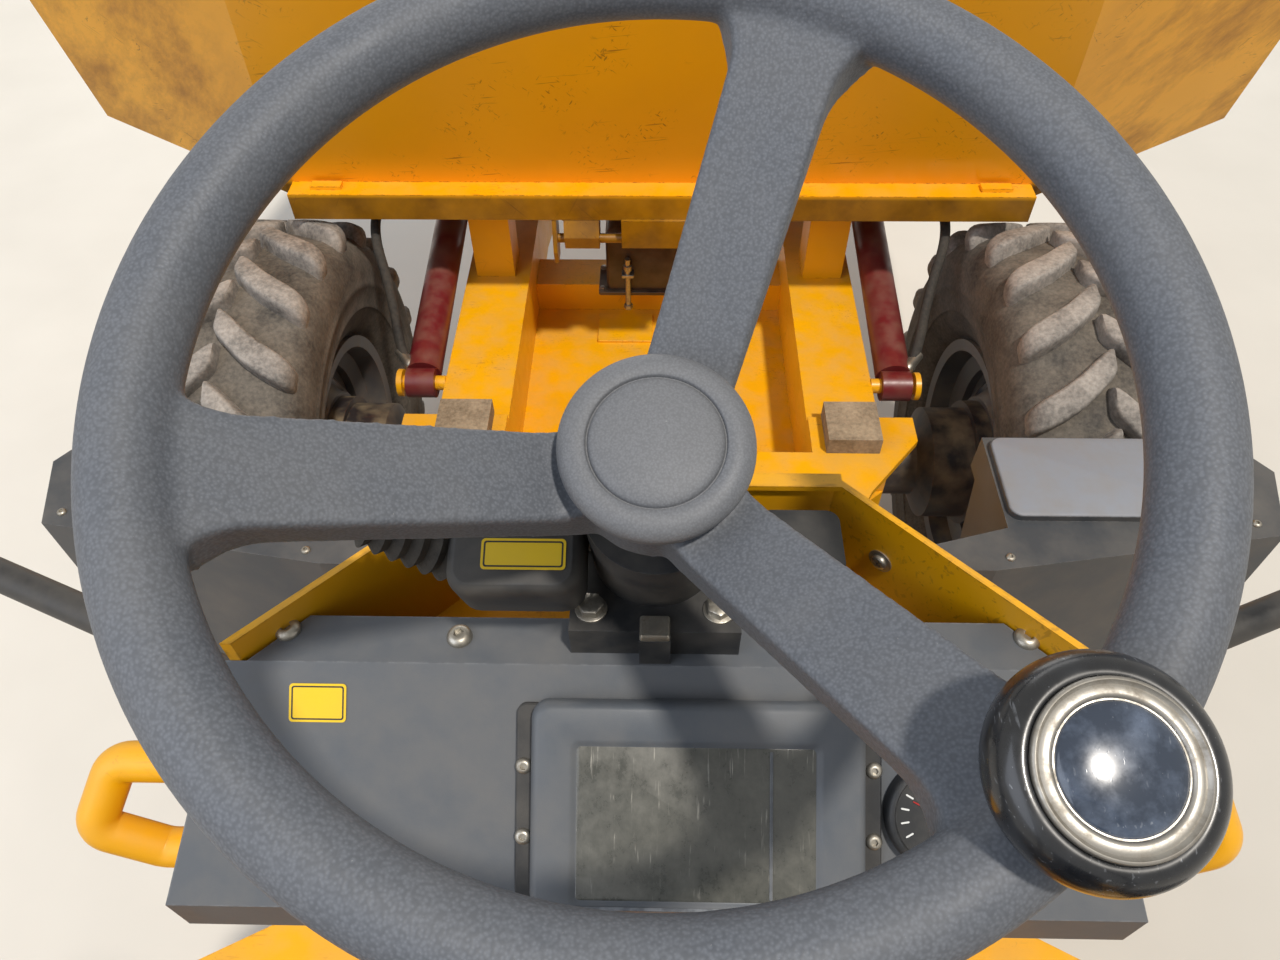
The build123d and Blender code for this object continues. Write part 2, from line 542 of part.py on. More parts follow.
# Side panels and tail panel round the engine
with BuildPart() as side_panels:
    for side in SIDES:
        with BuildSketch(yz(span(side, BODY_HALF - SHEET, SHEET))):
            Polygon((SEAT_BOX_REAR + SEAT, CHASSIS_TOP + 40), (CHASSIS_REAR, CHASSIS_TOP + 40),
                    (CHASSIS_REAR, BONNET_TOP - 130), (SEAT_BOX_REAR + SEAT, BONNET_TOP - 60), align=None)
        extrude(amount=SHEET)
    with BuildSketch(Plane.XZ.offset(-CHASSIS_REAR)):
        Polygon((-BODY_HALF, 992), (BODY_HALF, 992), (BODY_HALF, BONNET_TOP - 130), (-BODY_HALF, BONNET_TOP - 130),
                align=None)
    extrude(amount=SHEET)
    # slots of the radiator grille in the tail panel
    with BuildSketch(Plane.XZ.offset(-CHASSIS_REAR)):
        with Locations(*[(0, 1060 + 24 * row) for row in range(5)]):
            SlotOverall(440, 12)
    extrude(amount=SHEET, mode=Mode.SUBTRACT)
    # pressed louvres in the side panels
    for side in SIDES:
        for row in range(8):
            foot = 986 + 26 * row
            with BuildSketch(Plane.XZ.offset(80 - CHASSIS_REAR)):
                Polygon((side * (BODY_HALF - 1), foot), (side * (BODY_HALF + 11), foot),
                        (side * (BODY_HALF - 1), foot + 19), align=None)
            extrude(amount=320)
    # exhaust outlet on the driver's right
    add(tube([(1 - BODY_HALF, 1420, 1090), (-385, 1420, 1090), (-385, 1420, 1400), (-385, 1470, 1450)], 24, 30))
    for y_mid in (SEAT_BOX_REAR + 24, CHASSIS_REAR - 20):
        with Locations((0, y_mid, CHASSIS_TOP + 50)):
            Box(2 * BODY_HALF, 40, 20)
        for side in SIDES:
            with Locations((side * 178, y_mid, CHASSIS_TOP + 20 + SEAT / 2)):
                Box(24, 40, 40 - SEAT)
    # knuckles and pins of the bonnet's hinge
    for x_mid in (-220, 220):
        for near in (x_mid - 45, x_mid + 21):
            with BuildSketch(yz(near)):
                Polygon((CHASSIS_REAR - 2, 1180), (CHASSIS_REAR + 12, 1180), (HINGE_Y + 11, HINGE_Z),
                        (HINGE_Y + 5, HINGE_Z + 10), (HINGE_Y - 5, HINGE_Z + 10), (HINGE_Y - 9, HINGE_Z - 4),
                        (CHASSIS_REAR - 2, 1214), align=None)
            extrude(amount=24)
        with BuildSketch(yz(x_mid - 45)):
            with Locations((HINGE_Y, HINGE_Z)):
                Circle(HINGE_PIN_R)
        extrude(amount=90)
save(side_panels.part, "side_panels")

# Bonnet: a folded lid hinged at its rear edge
with BuildPart() as bonnet:
    with BuildSketch(yz(-BODY_HALF - 14)):
        Polygon((SEAT_BOX_REAR + RUN + 4, BONNET_TOP - 52), (SEAT_BOX_REAR + RUN + 4, BONNET_TOP),
                (CHASSIS_REAR - 180, BONNET_TOP), (CHASSIS_REAR + 14, BONNET_TOP - 58),
                (CHASSIS_REAR + 14, BONNET_TOP - 108), align=None)
    extrude(amount=2 * BODY_HALF + 28)
    with BuildSketch(yz(-BODY_HALF - 14 + SHEET)):
        Polygon((SEAT_BOX_REAR + RUN + 8, BONNET_TOP - 62), (SEAT_BOX_REAR + RUN + 8, BONNET_TOP - SHEET),
                (CHASSIS_REAR - 181, BONNET_TOP - SHEET), (CHASSIS_REAR + 10, BONNET_TOP - 61),
                (CHASSIS_REAR + 10, BONNET_TOP - 140), align=None)
    extrude(amount=2 * BODY_HALF + 28 - 2 * SHEET, mode=Mode.SUBTRACT)
    for x_mid in (-220, 220):
        with BuildSketch(yz(x_mid - 19)):
            Polygon((HINGE_Y - 18, HINGE_Z + 4), (HINGE_Y - 18, HINGE_Z + 30), (HINGE_Y - 13, HINGE_Z + 30),
                    (HINGE_Y + 6, HINGE_Z + 9),
                    (HINGE_Y + 11, HINGE_Z), (HINGE_Y + 6, HINGE_Z - 9), (HINGE_Y - 6, HINGE_Z - 9), align=None)
            with Locations((HINGE_Y, HINGE_Z)):
                Circle(HINGE_PIN_R + FIT, mode=Mode.SUBTRACT)
        extrude(amount=38)
save(bonnet.part, "bonnet")

# Side tanks under the driving place, with two steps on each
with BuildPart() as side_tanks:
    tank_top = PLATFORM_Z - 50 - SEAT
    for side in SIDES:
        with BuildSketch(yz(span(side, 260, 260))):
            Polygon((440, 600), (720, 600), (740, 640), (740, tank_top), (440, tank_top), align=None)
        extrude(amount=260)
        with BuildSketch(yz(span(side, 190 + SEAT, 75))):
            Polygon((500, 620), (680, 620), (680, 640), (500, 640), align=None)
        extrude(amount=75)
        # distance from the middle, width, Z of the tread of each step
        for near, width, tread in [(515, 155, 676), (560, 150, 450)]:
            with BuildSketch(yz(span(side, near, width))):
                Polygon((470, tread - 20), (470, tread), (700, tread), (700, tread - 20), (696, tread - 20),
                        (696, tread - 4), (474, tread - 4), (474, tread - 20), align=None)
            extrude(amount=width)
        for y_low in (464, 700):
            with BuildSketch(Plane.XZ.offset(-y_low - 6)):
                Polygon((side * 515, 620), (side * 515, 700), (side * 670, 700), (side * 712, 460), (side * 712, 425),
                        (side * 640, 425), (side * 590, 620), align=None)
            extrude(amount=6)
save(side_tanks.part, "side_tanks")

# Driving place: floor with a turned-down edge and the box under the seat
with BuildPart() as platform:
    floor_outline = [(-380, PLATFORM_FRONT), (380, PLATFORM_FRONT), (500, 411), (560, 480), (560, PLATFORM_REAR),
                     (-560, PLATFORM_REAR), (-560, 480), (-500, 411)]
    with BuildSketch(Plane.XY.offset(PLATFORM_Z - 50)):
        Polygon(*floor_outline, align=None)
    extrude(amount=50)
    with BuildSketch(Plane.XY.offset(PLATFORM_Z - 50)):
        Polygon(*floor_outline, align=None)
        offset(amount=-PLATFORM_T, kind=Kind.INTERSECTION)
    extrude(amount=50 - PLATFORM_T, mode=Mode.SUBTRACT)
    with BuildSketch(yz(-BODY_HALF)):
        Polygon((SEAT_BOX_FRONT, PLATFORM_Z - 50), (SEAT_BOX_REAR, PLATFORM_Z - 50),
                (SEAT_BOX_REAR, SEAT_BOX_TOP + 60), (1190, SEAT_BOX_TOP), (PLATFORM_REAR - 8, SEAT_BOX_TOP),
                (PLATFORM_REAR - 8, PLATFORM_Z - 50), align=None)
    extrude(amount=2 * BODY_HALF)
    with BuildSketch(yz(-BODY_HALF + SHEET)):
        Polygon((SEAT_BOX_FRONT, PLATFORM_Z - 60), (SEAT_BOX_REAR - SHEET, PLATFORM_Z - 60),
                (SEAT_BOX_REAR - SHEET, SEAT_BOX_TOP + 55), (1192, SEAT_BOX_TOP - SHEET),
                (SEAT_BOX_FRONT, SEAT_BOX_TOP - SHEET), align=None)
    extrude(amount=2 * BODY_HALF - 2 * SHEET, mode=Mode.SUBTRACT)
save(platform.part, "platform")

# Console: a sheet metal box whose side walls stand above the dash's flange
CONSOLE_PLAN = [(-223, 380), (-106, 265), (106, 265), (223, 380), (223, 440), (-223, 440)]
with BuildPart() as console_body:
    with BuildSketch(Plane.XY.offset(PLATFORM_Z + SEAT)):
        Polygon(*CONSOLE_PLAN, align=None)
    extrude(amount=CONSOLE_TOP - PLATFORM_Z - SEAT)
    with BuildSketch(yz(-300)):
        Polygon((DASH_BEND[0] - SEAT, CONSOLE_TOP + 1), (DASH_BEND[0] - SEAT, DASH_BEND[1] - SHEET - 2),
                (DASH_LOW[0] - 2, DASH_LOW[1] - SHEET - 2), (DASH_LOW[0] - 2, CONSOLE_TOP + 1), align=None)
    extrude(amount=600, mode=Mode.SUBTRACT)
    with BuildSketch(Plane.XY.offset(PLATFORM_Z + SHEET)):
        Polygon(*CONSOLE_PLAN, align=None)
        offset(amount=-SHEET, kind=Kind.INTERSECTION)
    extrude(amount=CONSOLE_TOP - PLATFORM_Z, mode=Mode.SUBTRACT)
    with BuildSketch(Plane.XY.offset(1416)):
        Polygon(*CONSOLE_PLAN, align=None)
        offset(amount=-SHEET / 2, kind=Kind.INTERSECTION)
    extrude(amount=SHEET)
    # folded lip round the top of the front wall
    with BuildSketch(Plane.XY.offset(CONSOLE_TOP - SHEET)):
        Polygon((-108, 262), (108, 262), (108, 272), (-108, 272), align=None)
    extrude(amount=SHEET)
save(console_body.part, "console_body")

# Dash: a folded plate with a flat flange between the console's walls and a sloping face
with BuildPart() as dash_panel:
    with BuildSketch(yz(-DASH_HALF - 10)):
        Polygon((DASH_EDGE, DASH_BEND[1] - SHEET), (DASH_EDGE, DASH_BEND[1]), DASH_BEND, DASH_LOW,
                (DASH_LOW[0], DASH_LOW[1] - 34), (DASH_LOW[0] - SHEET, DASH_LOW[1] - 34),
                (DASH_LOW[0] - SHEET, DASH_LOW[1] - 2), (DASH_BEND[0] - 2, DASH_BEND[1] - SHEET), align=None)
    extrude(amount=2 * DASH_HALF + 20)
    with BuildSketch(Plane.XY.offset(DASH_LOW[1] - 60)):
        Polygon((-187, DASH_EDGE), (187, DASH_EDGE), (214, 380), (226, 380), (254, 480), (-254, 480), (-226, 380),
                (-214, 380), align=None)
    extrude(amount=200, mode=Mode.INTERSECT)
save(dash_panel.part, "dash_panel")


def on_dash(right, up, height=0.0):
    """A plane on the dash face, this far to the driver's right, up the slope and above the face."""
    return Plane(DASH_PLANE.from_local_coords(Vector(right, up, height)), x_dir=(-1, 0, 0), z_dir=DASH_PLANE.z_dir)


# Display: a base plate with a raised frame round the recessed glass
# distance to the driver's right and up the slope of each piece's middle, width and height
BASE_PLATE = (23, 58, 188, 100)
FRAME = (22.5, 58, 170, 106)
GLASS = (21.5, 50, 121, 77)
with BuildPart() as display_housing:
    with BuildSketch(on_dash(*BASE_PLATE[:2], SEAT)):
        RectangleRounded(*BASE_PLATE[2:], 5)
    extrude(amount=4)
    with BuildSketch(on_dash(*FRAME[:2], SEAT)):
        RectangleRounded(*FRAME[2:], 9)
    extrude(amount=15, taper=8)
    with BuildSketch(on_dash(*GLASS[:2], 11)):
        Rectangle(*GLASS[2:])
    extrude(amount=8, mode=Mode.SUBTRACT)
save(display_housing.part, "display_housing")

with BuildPart() as display_screen:
    with BuildSketch(on_dash(*GLASS[:2], 11)):
        Rectangle(GLASS[2] - 2 * SEAT, GLASS[3] - 2 * SEAT)
    extrude(amount=1.6)
save(display_screen.part, "display_screen")

with BuildPart() as round_gauge:
    with BuildSketch(on_dash(147.5, 54, SEAT)):
        Circle(29)
    extrude(amount=9, taper=10)
    with BuildSketch(on_dash(147.5, 54, SEAT + 9)):
        Circle(24)
    extrude(amount=-4, mode=Mode.SUBTRACT)
save(round_gauge.part, "round_gauge")

# Steering column: shaft, tube, the clamp over the dash's flange and a small box beside it
with BuildPart() as steering_column:
    # start and end below the rim, radius
    for high, low, radius in [(HUB_LOW + 22, -130, SHAFT_R), (HUB_LOW - RUN, -128, 26), (-126, -262, 34)]:
        with BuildSketch(WHEEL_PLANE.offset(low)):
            Circle(radius)
        extrude(amount=high - low)
    with Locations((0, 308, 1460)):
        Box(88, 64, 80)
    with Locations((0, 338, DASH_BEND[1] + SEAT + 11)):
        Box(88, 70, 22)
    with Locations((0, 372, DASH_BEND[1] + SEAT + 11)):
        Box(16, 14, 22)
    with BuildSketch(Plane.XY.offset(1420 + SEAT)):
        with Locations((-82, 306)):
            RectangleRounded(46, 44, 8)
    extrude(amount=88)
    with BuildSketch(Plane.XY.offset(1300)):
        Rectangle(400, 2000)
    extrude(amount=120 + SEAT, mode=Mode.SUBTRACT)
save(steering_column.part, "steering_column")

# Shuttle lever on the left of the column
lever_start = WHEEL_PLANE.from_local_coords(Vector(-92, -10, -160))
lever_knob = WHEEL_PLANE.from_local_coords(Vector(-190, -6, -104))
with BuildPart() as shuttle_lever:
    with BuildSketch(WHEEL_PLANE.offset(-196)):
        with Locations((-67, -8)):
            RectangleRounded(66 - 2 * SEAT, 62, 12)
    extrude(amount=48)
    with BuildSketch(WHEEL_PLANE.offset(-190)):
        with Locations((-104, -8)):
            SlotCenterToCenter(30, 18, rotation=90)
    extrude(amount=36)
    with BuildLine() as reach_path:
        Line(lever_start, lever_knob)
    with BuildSketch(Plane(reach_path.line @ 0, z_dir=reach_path.line % 0)):
        Circle(5)
    sweep()
    with Locations(lever_knob):
        Sphere(15)
save(shuttle_lever.part, "shuttle_lever")

# Handles at the sides of the console, and the arms of the mirrors from its front corners
with BuildPart() as side_loops:
    for side in SIDES:
        add(tube([(side * 223.5, 396, 1404), (side * 318, 396, 1404), (side * 334, 424, 1374), (side * 300, 426, 1346),
                  (side * 223.5, 426, 1346)], 12, 13))
save(side_loops.part, "side_loops")

with BuildPart() as mirror_arms:
    for side in SIDES:
        add(tube([(side * 212.3, 368.9, 1400), (side * 226, 355, 1400), (side * 560, MIRROR_Y - 20, 1400),
                  (side * 560, MIRROR_Y - 20, 1520)], 11, 30))
        with BuildSketch(Plane((side * 560, MIRROR_Y, 1600), x_dir=(1, 0, 0), z_dir=(0, 1, 0))):
            RectangleRounded(150, 210, 30)
        extrude(amount=-40, taper=20)
save(mirror_arms.part, "mirror_arms")

with BuildPart() as mirror_glasses:
    for side in SIDES:
        with BuildSketch(Plane((side * 560, MIRROR_Y + SEAT, 1600), x_dir=(1, 0, 0), z_dir=(0, 1, 0))):
            RectangleRounded(132, 190, 24)
        extrude(amount=3)
save(mirror_glasses.part, "mirror_glasses")

with BuildPart() as pedals:
    for x_mid in (-130, 130):
        with BuildSketch(yz(x_mid - 45)):
            Polygon((450, PLATFORM_Z + SEAT), (530, PLATFORM_Z + SEAT), (530, PLATFORM_Z + 8), (490, PLATFORM_Z + 10),
                    (524, PLATFORM_Z + 40), (462, PLATFORM_Z + 128), (454, PLATFORM_Z + 122), (508, PLATFORM_Z + 42),
                    (470, PLATFORM_Z + 8), (450, PLATFORM_Z + 8), align=None)
        extrude(amount=90)
save(pedals.part, "pedals")

# Seat
with BuildPart() as seat_pedestal:
    with Locations((0, 975, SEAT_BOX_TOP + SEAT + 25)):
        Box(380, 380, 50)
save(seat_pedestal.part, "seat_pedestal")

with BuildPart() as seat_cushion:
    with BuildSketch(Plane.XY.offset(SEAT_BOX_TOP + 2 * SEAT + 50)):
        with Locations((0, 975)):
            RectangleRounded(470, 430, 60)
    extrude(amount=105)
    # dished top with a side roll on each hand and a lower, rounded front edge
    with BuildSketch(Plane.XZ.offset(-700)):
        with BuildLine():
            Line((-150, 2000), (-150, SEAT_BOX_TOP + 156))
            Line((-150, SEAT_BOX_TOP + 156), (-128, SEAT_BOX_TOP + 130))
            Line((-128, SEAT_BOX_TOP + 130), (128, SEAT_BOX_TOP + 130))
            Line((128, SEAT_BOX_TOP + 130), (150, SEAT_BOX_TOP + 156))
            Line((150, SEAT_BOX_TOP + 156), (150, 2000))
            Line((150, 2000), (-150, 2000))
        make_face()
    extrude(amount=-600, mode=Mode.SUBTRACT)
    with BuildSketch(yz(-300)):
        with BuildLine():
            Line((740, 2000), (740, SEAT_BOX_TOP + 100))
            Line((740, SEAT_BOX_TOP + 100), (760, SEAT_BOX_TOP + 100))
            ThreePointArc((760, SEAT_BOX_TOP + 100), (780, SEAT_BOX_TOP + 143), (830, SEAT_BOX_TOP + 160))
            Line((830, SEAT_BOX_TOP + 160), (830, 2000))
            Line((830, 2000), (740, 2000))
        make_face()
    extrude(amount=600, mode=Mode.SUBTRACT)
save(seat_cushion.part, "seat_cushion")

with BuildPart() as seat_back:
    with BuildSketch(yz(-225)):
        Polygon((1190 + SEAT, SEAT_BOX_TOP + 70), (1214, SEAT_BOX_TOP + 70), (1262, 1770), (1240, 1805), (1215, 1800),
                (1170, 1720), (1110, 1400), (1118, 1384), (1190 + SEAT, 1384), align=None)
    extrude(amount=450)
save(seat_back.part, "seat_back")

# Roll bar: fixed posts on a cross beam, and a hoop that folds to the rear about two pins
with BuildPart() as rops_posts:
    with Locations((0, HOOP_Y, CHASSIS_TOP + SEAT + 18)):
        Box(2 * HOOP_X + 60, 50, 36)
    for side in SIDES:
        with Locations((side * HOOP_X, HOOP_Y, (CHASSIS_TOP + SEAT + HOOP_HINGE_Z - 45) / 2)):
            Box(60, 50, HOOP_HINGE_Z - 45 - CHASSIS_TOP - SEAT)
        for near in (HOOP_X - 45, HOOP_X + 33):
            with BuildSketch(yz(span(side, near, 12))):
                Polygon((HOOP_Y - 25, 1640), (HOOP_Y + 25, 1640), (HOOP_Y + 30, HOOP_HINGE_Z),
                        (HOOP_Y + 16, HOOP_HINGE_Z + 28), (HOOP_Y - 16, HOOP_HINGE_Z + 28),
                        (HOOP_Y - 30, HOOP_HINGE_Z), align=None)
            extrude(amount=12)
        with BuildSketch(yz(span(side, HOOP_X - 50, 100))):
            with Locations((HOOP_Y, HOOP_HINGE_Z)):
                Circle(EYE_PIN_R)
        extrude(amount=100)
        with BuildSketch(yz(span(side, HOOP_X - 34, 68))):
            with Locations((HOOP_Y, 1670)):
                Rectangle(50, 56)
        extrude(amount=68)
save(rops_posts.part, "rops_posts")

with BuildPart() as rops_hoop:
    add(tube([(-HOOP_X, HOOP_Y, HOOP_HINGE_Z + 10), (-HOOP_X, HOOP_Y, HOOP_TOP - 30), (HOOP_X, HOOP_Y, HOOP_TOP - 30),
              (HOOP_X, HOOP_Y, HOOP_HINGE_Z + 10)], 25, 110))
    for side in SIDES:
        with BuildSketch(yz(span(side, HOOP_X - 27, 54))):
            with Locations((HOOP_Y, HOOP_HINGE_Z)):
                Circle(30)
        extrude(amount=54)
        with BuildSketch(yz(span(side, HOOP_X - 27, 54))):
            with Locations((HOOP_Y, HOOP_HINGE_Z)):
                Circle(EYE_PIN_R + FIT)
        extrude(amount=54, mode=Mode.SUBTRACT)
save(rops_hoop.part, "rops_hoop")

with BuildPart() as beacon:
    with BuildSketch(Plane.XY.offset(HOOP_TOP - 5 + SEAT)):
        with Locations((250, HOOP_Y)):
            Circle(48)
    extrude(amount=24)
    with BuildSketch(Plane.XY.offset(HOOP_TOP + 19)):
        with Locations((250, HOOP_Y)):
            Circle(42)
    extrude(amount=90, taper=3)
save(beacon.part, "beacon")

# Rear mudguards and lamps
with BuildPart() as rear_mudguards:
    for side in SIDES:
        with BuildSketch(yz(span(side, 560, 365))):
            Polygon((766, 780), (846, 935), (958, 1015), (1642, 1015), (1764, 935), (1815, 800), (1809, 800),
                    (1760, 931), (1640, 1010), (960, 1010), (850, 931), (772, 780), align=None)
        extrude(amount=365)
        with BuildSketch(yz(span(side, 556, 5))):
            Polygon((766, 780), (846, 935), (958, 1015), (1642, 1015), (1764, 935), (1815, 800), align=None)
        extrude(amount=5)
        with Locations((side * (HOOP_X + 30 + SEAT + (556 - HOOP_X - 30 - SEAT) / 2), HOOP_Y, 930)):
            Box(556 - HOOP_X - 30 - SEAT, 50, 60)
        with BuildSketch(yz(span(side, 800, 100))):
            Polygon((1768, 920), (1815, 920), (1815, 801), (1812, 801), align=None)
        extrude(amount=100)
save(rear_mudguards.part, "rear_mudguards")

with BuildPart() as rear_lamps:
    for side in SIDES:
        with Locations((side * 850, 1815 + SEAT + 18, 870)):
            Box(110, 36, 130)
save(rear_lamps.part, "rear_lamps")

# Steering wheel, drawn in the plane of its rim with +X to the driver's right and +Z towards the driver
with BuildPart() as spoke_shape:
    with BuildSketch(Plane.XY.offset(HUB_LOW)) as plan:
        Polygon((16, -SPOKE_W / 2), (146, -SPOKE_W / 2 - 2), (176, -SPOKE_W / 2 - 22), (176, SPOKE_W / 2 + 22),
                (146, SPOKE_W / 2 + 2), (16, SPOKE_W / 2), align=None)
        fillet(plan.vertices().filter_by_position(Axis.X, 145, 147), 26)
    extrude(amount=130)
    with BuildSketch(Plane.XZ) as profile:
        Polygon((16, HUB_LOW + 2), (34, HUB_LOW + 2), (152, -24), (175, -12), (175, 12), (150, -2), (40, -68),
                (16, -68), align=None)
        fillet(profile.vertices().filter_by_position(Axis.X, 30, 153), 18)
    extrude(amount=80, both=True, mode=Mode.INTERSECT)

with BuildPart() as steering_wheel:
    Torus(RIM_R, RIM_TUBE_R)
    for spoke in range(3):
        add(spoke_shape.part.rotate(Axis.Z, SPOKE_TURN + 120 * spoke))
    with BuildSketch(Plane.XY.offset(HUB_LOW)):
        Circle(33)
    extrude(amount=HUB_TOP - HUB_LOW)
    with BuildSketch(Plane.XY.offset(HUB_LOW)):
        Circle(SHAFT_R + FIT)
    extrude(amount=26, mode=Mode.SUBTRACT)
save(steering_wheel.part.moved(WHEEL_PLANE.location), "steering_wheel")

with BuildPart() as hub_cap:
    with BuildSketch(Plane.XZ):
        Polygon((0, HUB_TOP), (37, HUB_TOP), (38.5, HUB_TOP + 4), (37, HUB_TOP + 10), (31, HUB_TOP + 12.6),
                (27, HUB_TOP + 13), (18, HUB_TOP + 14.8), (9, HUB_TOP + 15.8), (0, HUB_TOP + 16), align=None)
    revolve(axis=Axis.Z)
save(hub_cap.part.moved(WHEEL_PLANE.location), "hub_cap")

# Spinner knob: clamp and body, a metal ring and a dome
KNOB_TOP = RIM_TUBE_R + 22
knob_at = Vector(KNOB_R * cos(radians(KNOB_TURN)), KNOB_R * sin(radians(KNOB_TURN)), 0)
with BuildPart() as spinner_knob:
    with BuildSketch(Plane.XZ):
        Polygon((0, RIM_TUBE_R + SEAT), (14, RIM_TUBE_R + SEAT), (14, RIM_TUBE_R + 4), (22, RIM_TUBE_R + 4),
                (28.5, RIM_TUBE_R + 7.5), (30.5, RIM_TUBE_R + 13), (28.6, RIM_TUBE_R + 19.5), (22.4, RIM_TUBE_R + 24),
                (22.4, KNOB_TOP), (0, KNOB_TOP), align=None)
    revolve(axis=Axis.Z)
save(spinner_knob.part.moved(Location(knob_at)).moved(WHEEL_PLANE.location), "spinner_knob")

with BuildPart() as spinner_ring:
    with BuildSketch(Plane.XZ):
        Polygon((16.6, KNOB_TOP + SEAT), (22.2, KNOB_TOP + SEAT), (22.2, KNOB_TOP + 3), (21, KNOB_TOP + 3.6),
                (20, KNOB_TOP + 2.4), (18, KNOB_TOP + 3), (16.6, KNOB_TOP + 2.4), align=None)
    revolve(axis=Axis.Z)
save(spinner_ring.part.moved(Location(knob_at)).moved(WHEEL_PLANE.location), "spinner_ring")

with BuildPart() as spinner_dome:
    with BuildSketch(Plane.XZ):
        Polygon((0, KNOB_TOP + SEAT), (16.4, KNOB_TOP + SEAT), (16.4, KNOB_TOP + 2), (12, KNOB_TOP + 3.7),
                (6, KNOB_TOP + 4.8), (0, KNOB_TOP + 5.2), align=None)
    revolve(axis=Axis.Z)
save(spinner_dome.part.moved(Location(knob_at)).moved(WHEEL_PLANE.location), "spinner_dome")
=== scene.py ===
"""Looks of an articulated site dumper seen from its driving seat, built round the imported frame."""

import logging
import math
from dataclasses import dataclass
from enum import Enum
from typing import Sequence

import bmesh
import bpy
from mathutils import Matrix, Vector


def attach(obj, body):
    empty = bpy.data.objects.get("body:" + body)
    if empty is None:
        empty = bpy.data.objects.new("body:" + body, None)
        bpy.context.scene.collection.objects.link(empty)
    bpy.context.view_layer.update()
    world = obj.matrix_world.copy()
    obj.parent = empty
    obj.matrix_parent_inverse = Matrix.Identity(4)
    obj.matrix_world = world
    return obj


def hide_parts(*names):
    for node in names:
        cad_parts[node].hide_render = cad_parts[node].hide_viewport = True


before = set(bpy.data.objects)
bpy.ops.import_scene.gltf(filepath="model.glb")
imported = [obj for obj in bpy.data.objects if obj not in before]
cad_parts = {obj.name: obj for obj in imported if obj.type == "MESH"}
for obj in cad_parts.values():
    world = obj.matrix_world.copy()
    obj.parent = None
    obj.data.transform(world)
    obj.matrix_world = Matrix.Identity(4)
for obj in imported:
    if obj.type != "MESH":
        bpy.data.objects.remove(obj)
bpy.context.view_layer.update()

LOG = logging.getLogger("dumper")
Point = tuple[float, float, float]
Outline = Sequence[tuple[float, float]]
MM = 0.001


class Side(Enum):
    """The driver's left and right as signs of X."""

    LEFT = 1
    RIGHT = -1


class Corner(Enum):
    """The four wheels, each with its side and the Y of its axle in metres."""

    FRONT_LEFT = (Side.LEFT, -0.660)
    FRONT_RIGHT = (Side.RIGHT, -0.660)
    REAR_LEFT = (Side.LEFT, 1.290)
    REAR_RIGHT = (Side.RIGHT, 1.290)

    @property
    def label(self) -> str:
        """The corner's name as the CAD nodes spell it."""
        return self.name.lower()


# Shader helpers

def linear(colour: str) -> tuple[float, float, float, float]:
    """Converts an sRGB hex colour to the linear values that a shader takes.

    Args:
        colour: Six hex digits, with or without a leading mark.

    Returns:
        Red, green, blue and an alpha of one.
    """
    digits = colour.lstrip("#")
    channels = [int(digits[i:i + 2], 16) / 255 for i in (0, 2, 4)]
    return tuple(c / 12.92 if c <= 0.04045 else ((c + 0.055) / 1.055) ** 2.4 for c in channels) + (1.0,)


def add_node(tree: bpy.types.NodeTree, kind: str, inputs: dict | None = None, **settings) -> bpy.types.Node:
    """Adds a node, sets its settings and feeds its inputs.

    Args:
        tree: The node tree to add to.
        kind: The node's type name.
        inputs: Input name or index to a plain value or to the output socket that feeds it.
        **settings: The node's own settings.

    Returns:
        The new node.
    """
    node = tree.nodes.new(kind)
    for name, value in settings.items():
        setattr(node, name, value)
    for key, value in (inputs or {}).items():
        socket = node.inputs[key]
        if isinstance(value, bpy.types.NodeSocket):
            tree.links.new(value, socket)
        else:
            socket.default_value = value
    return node


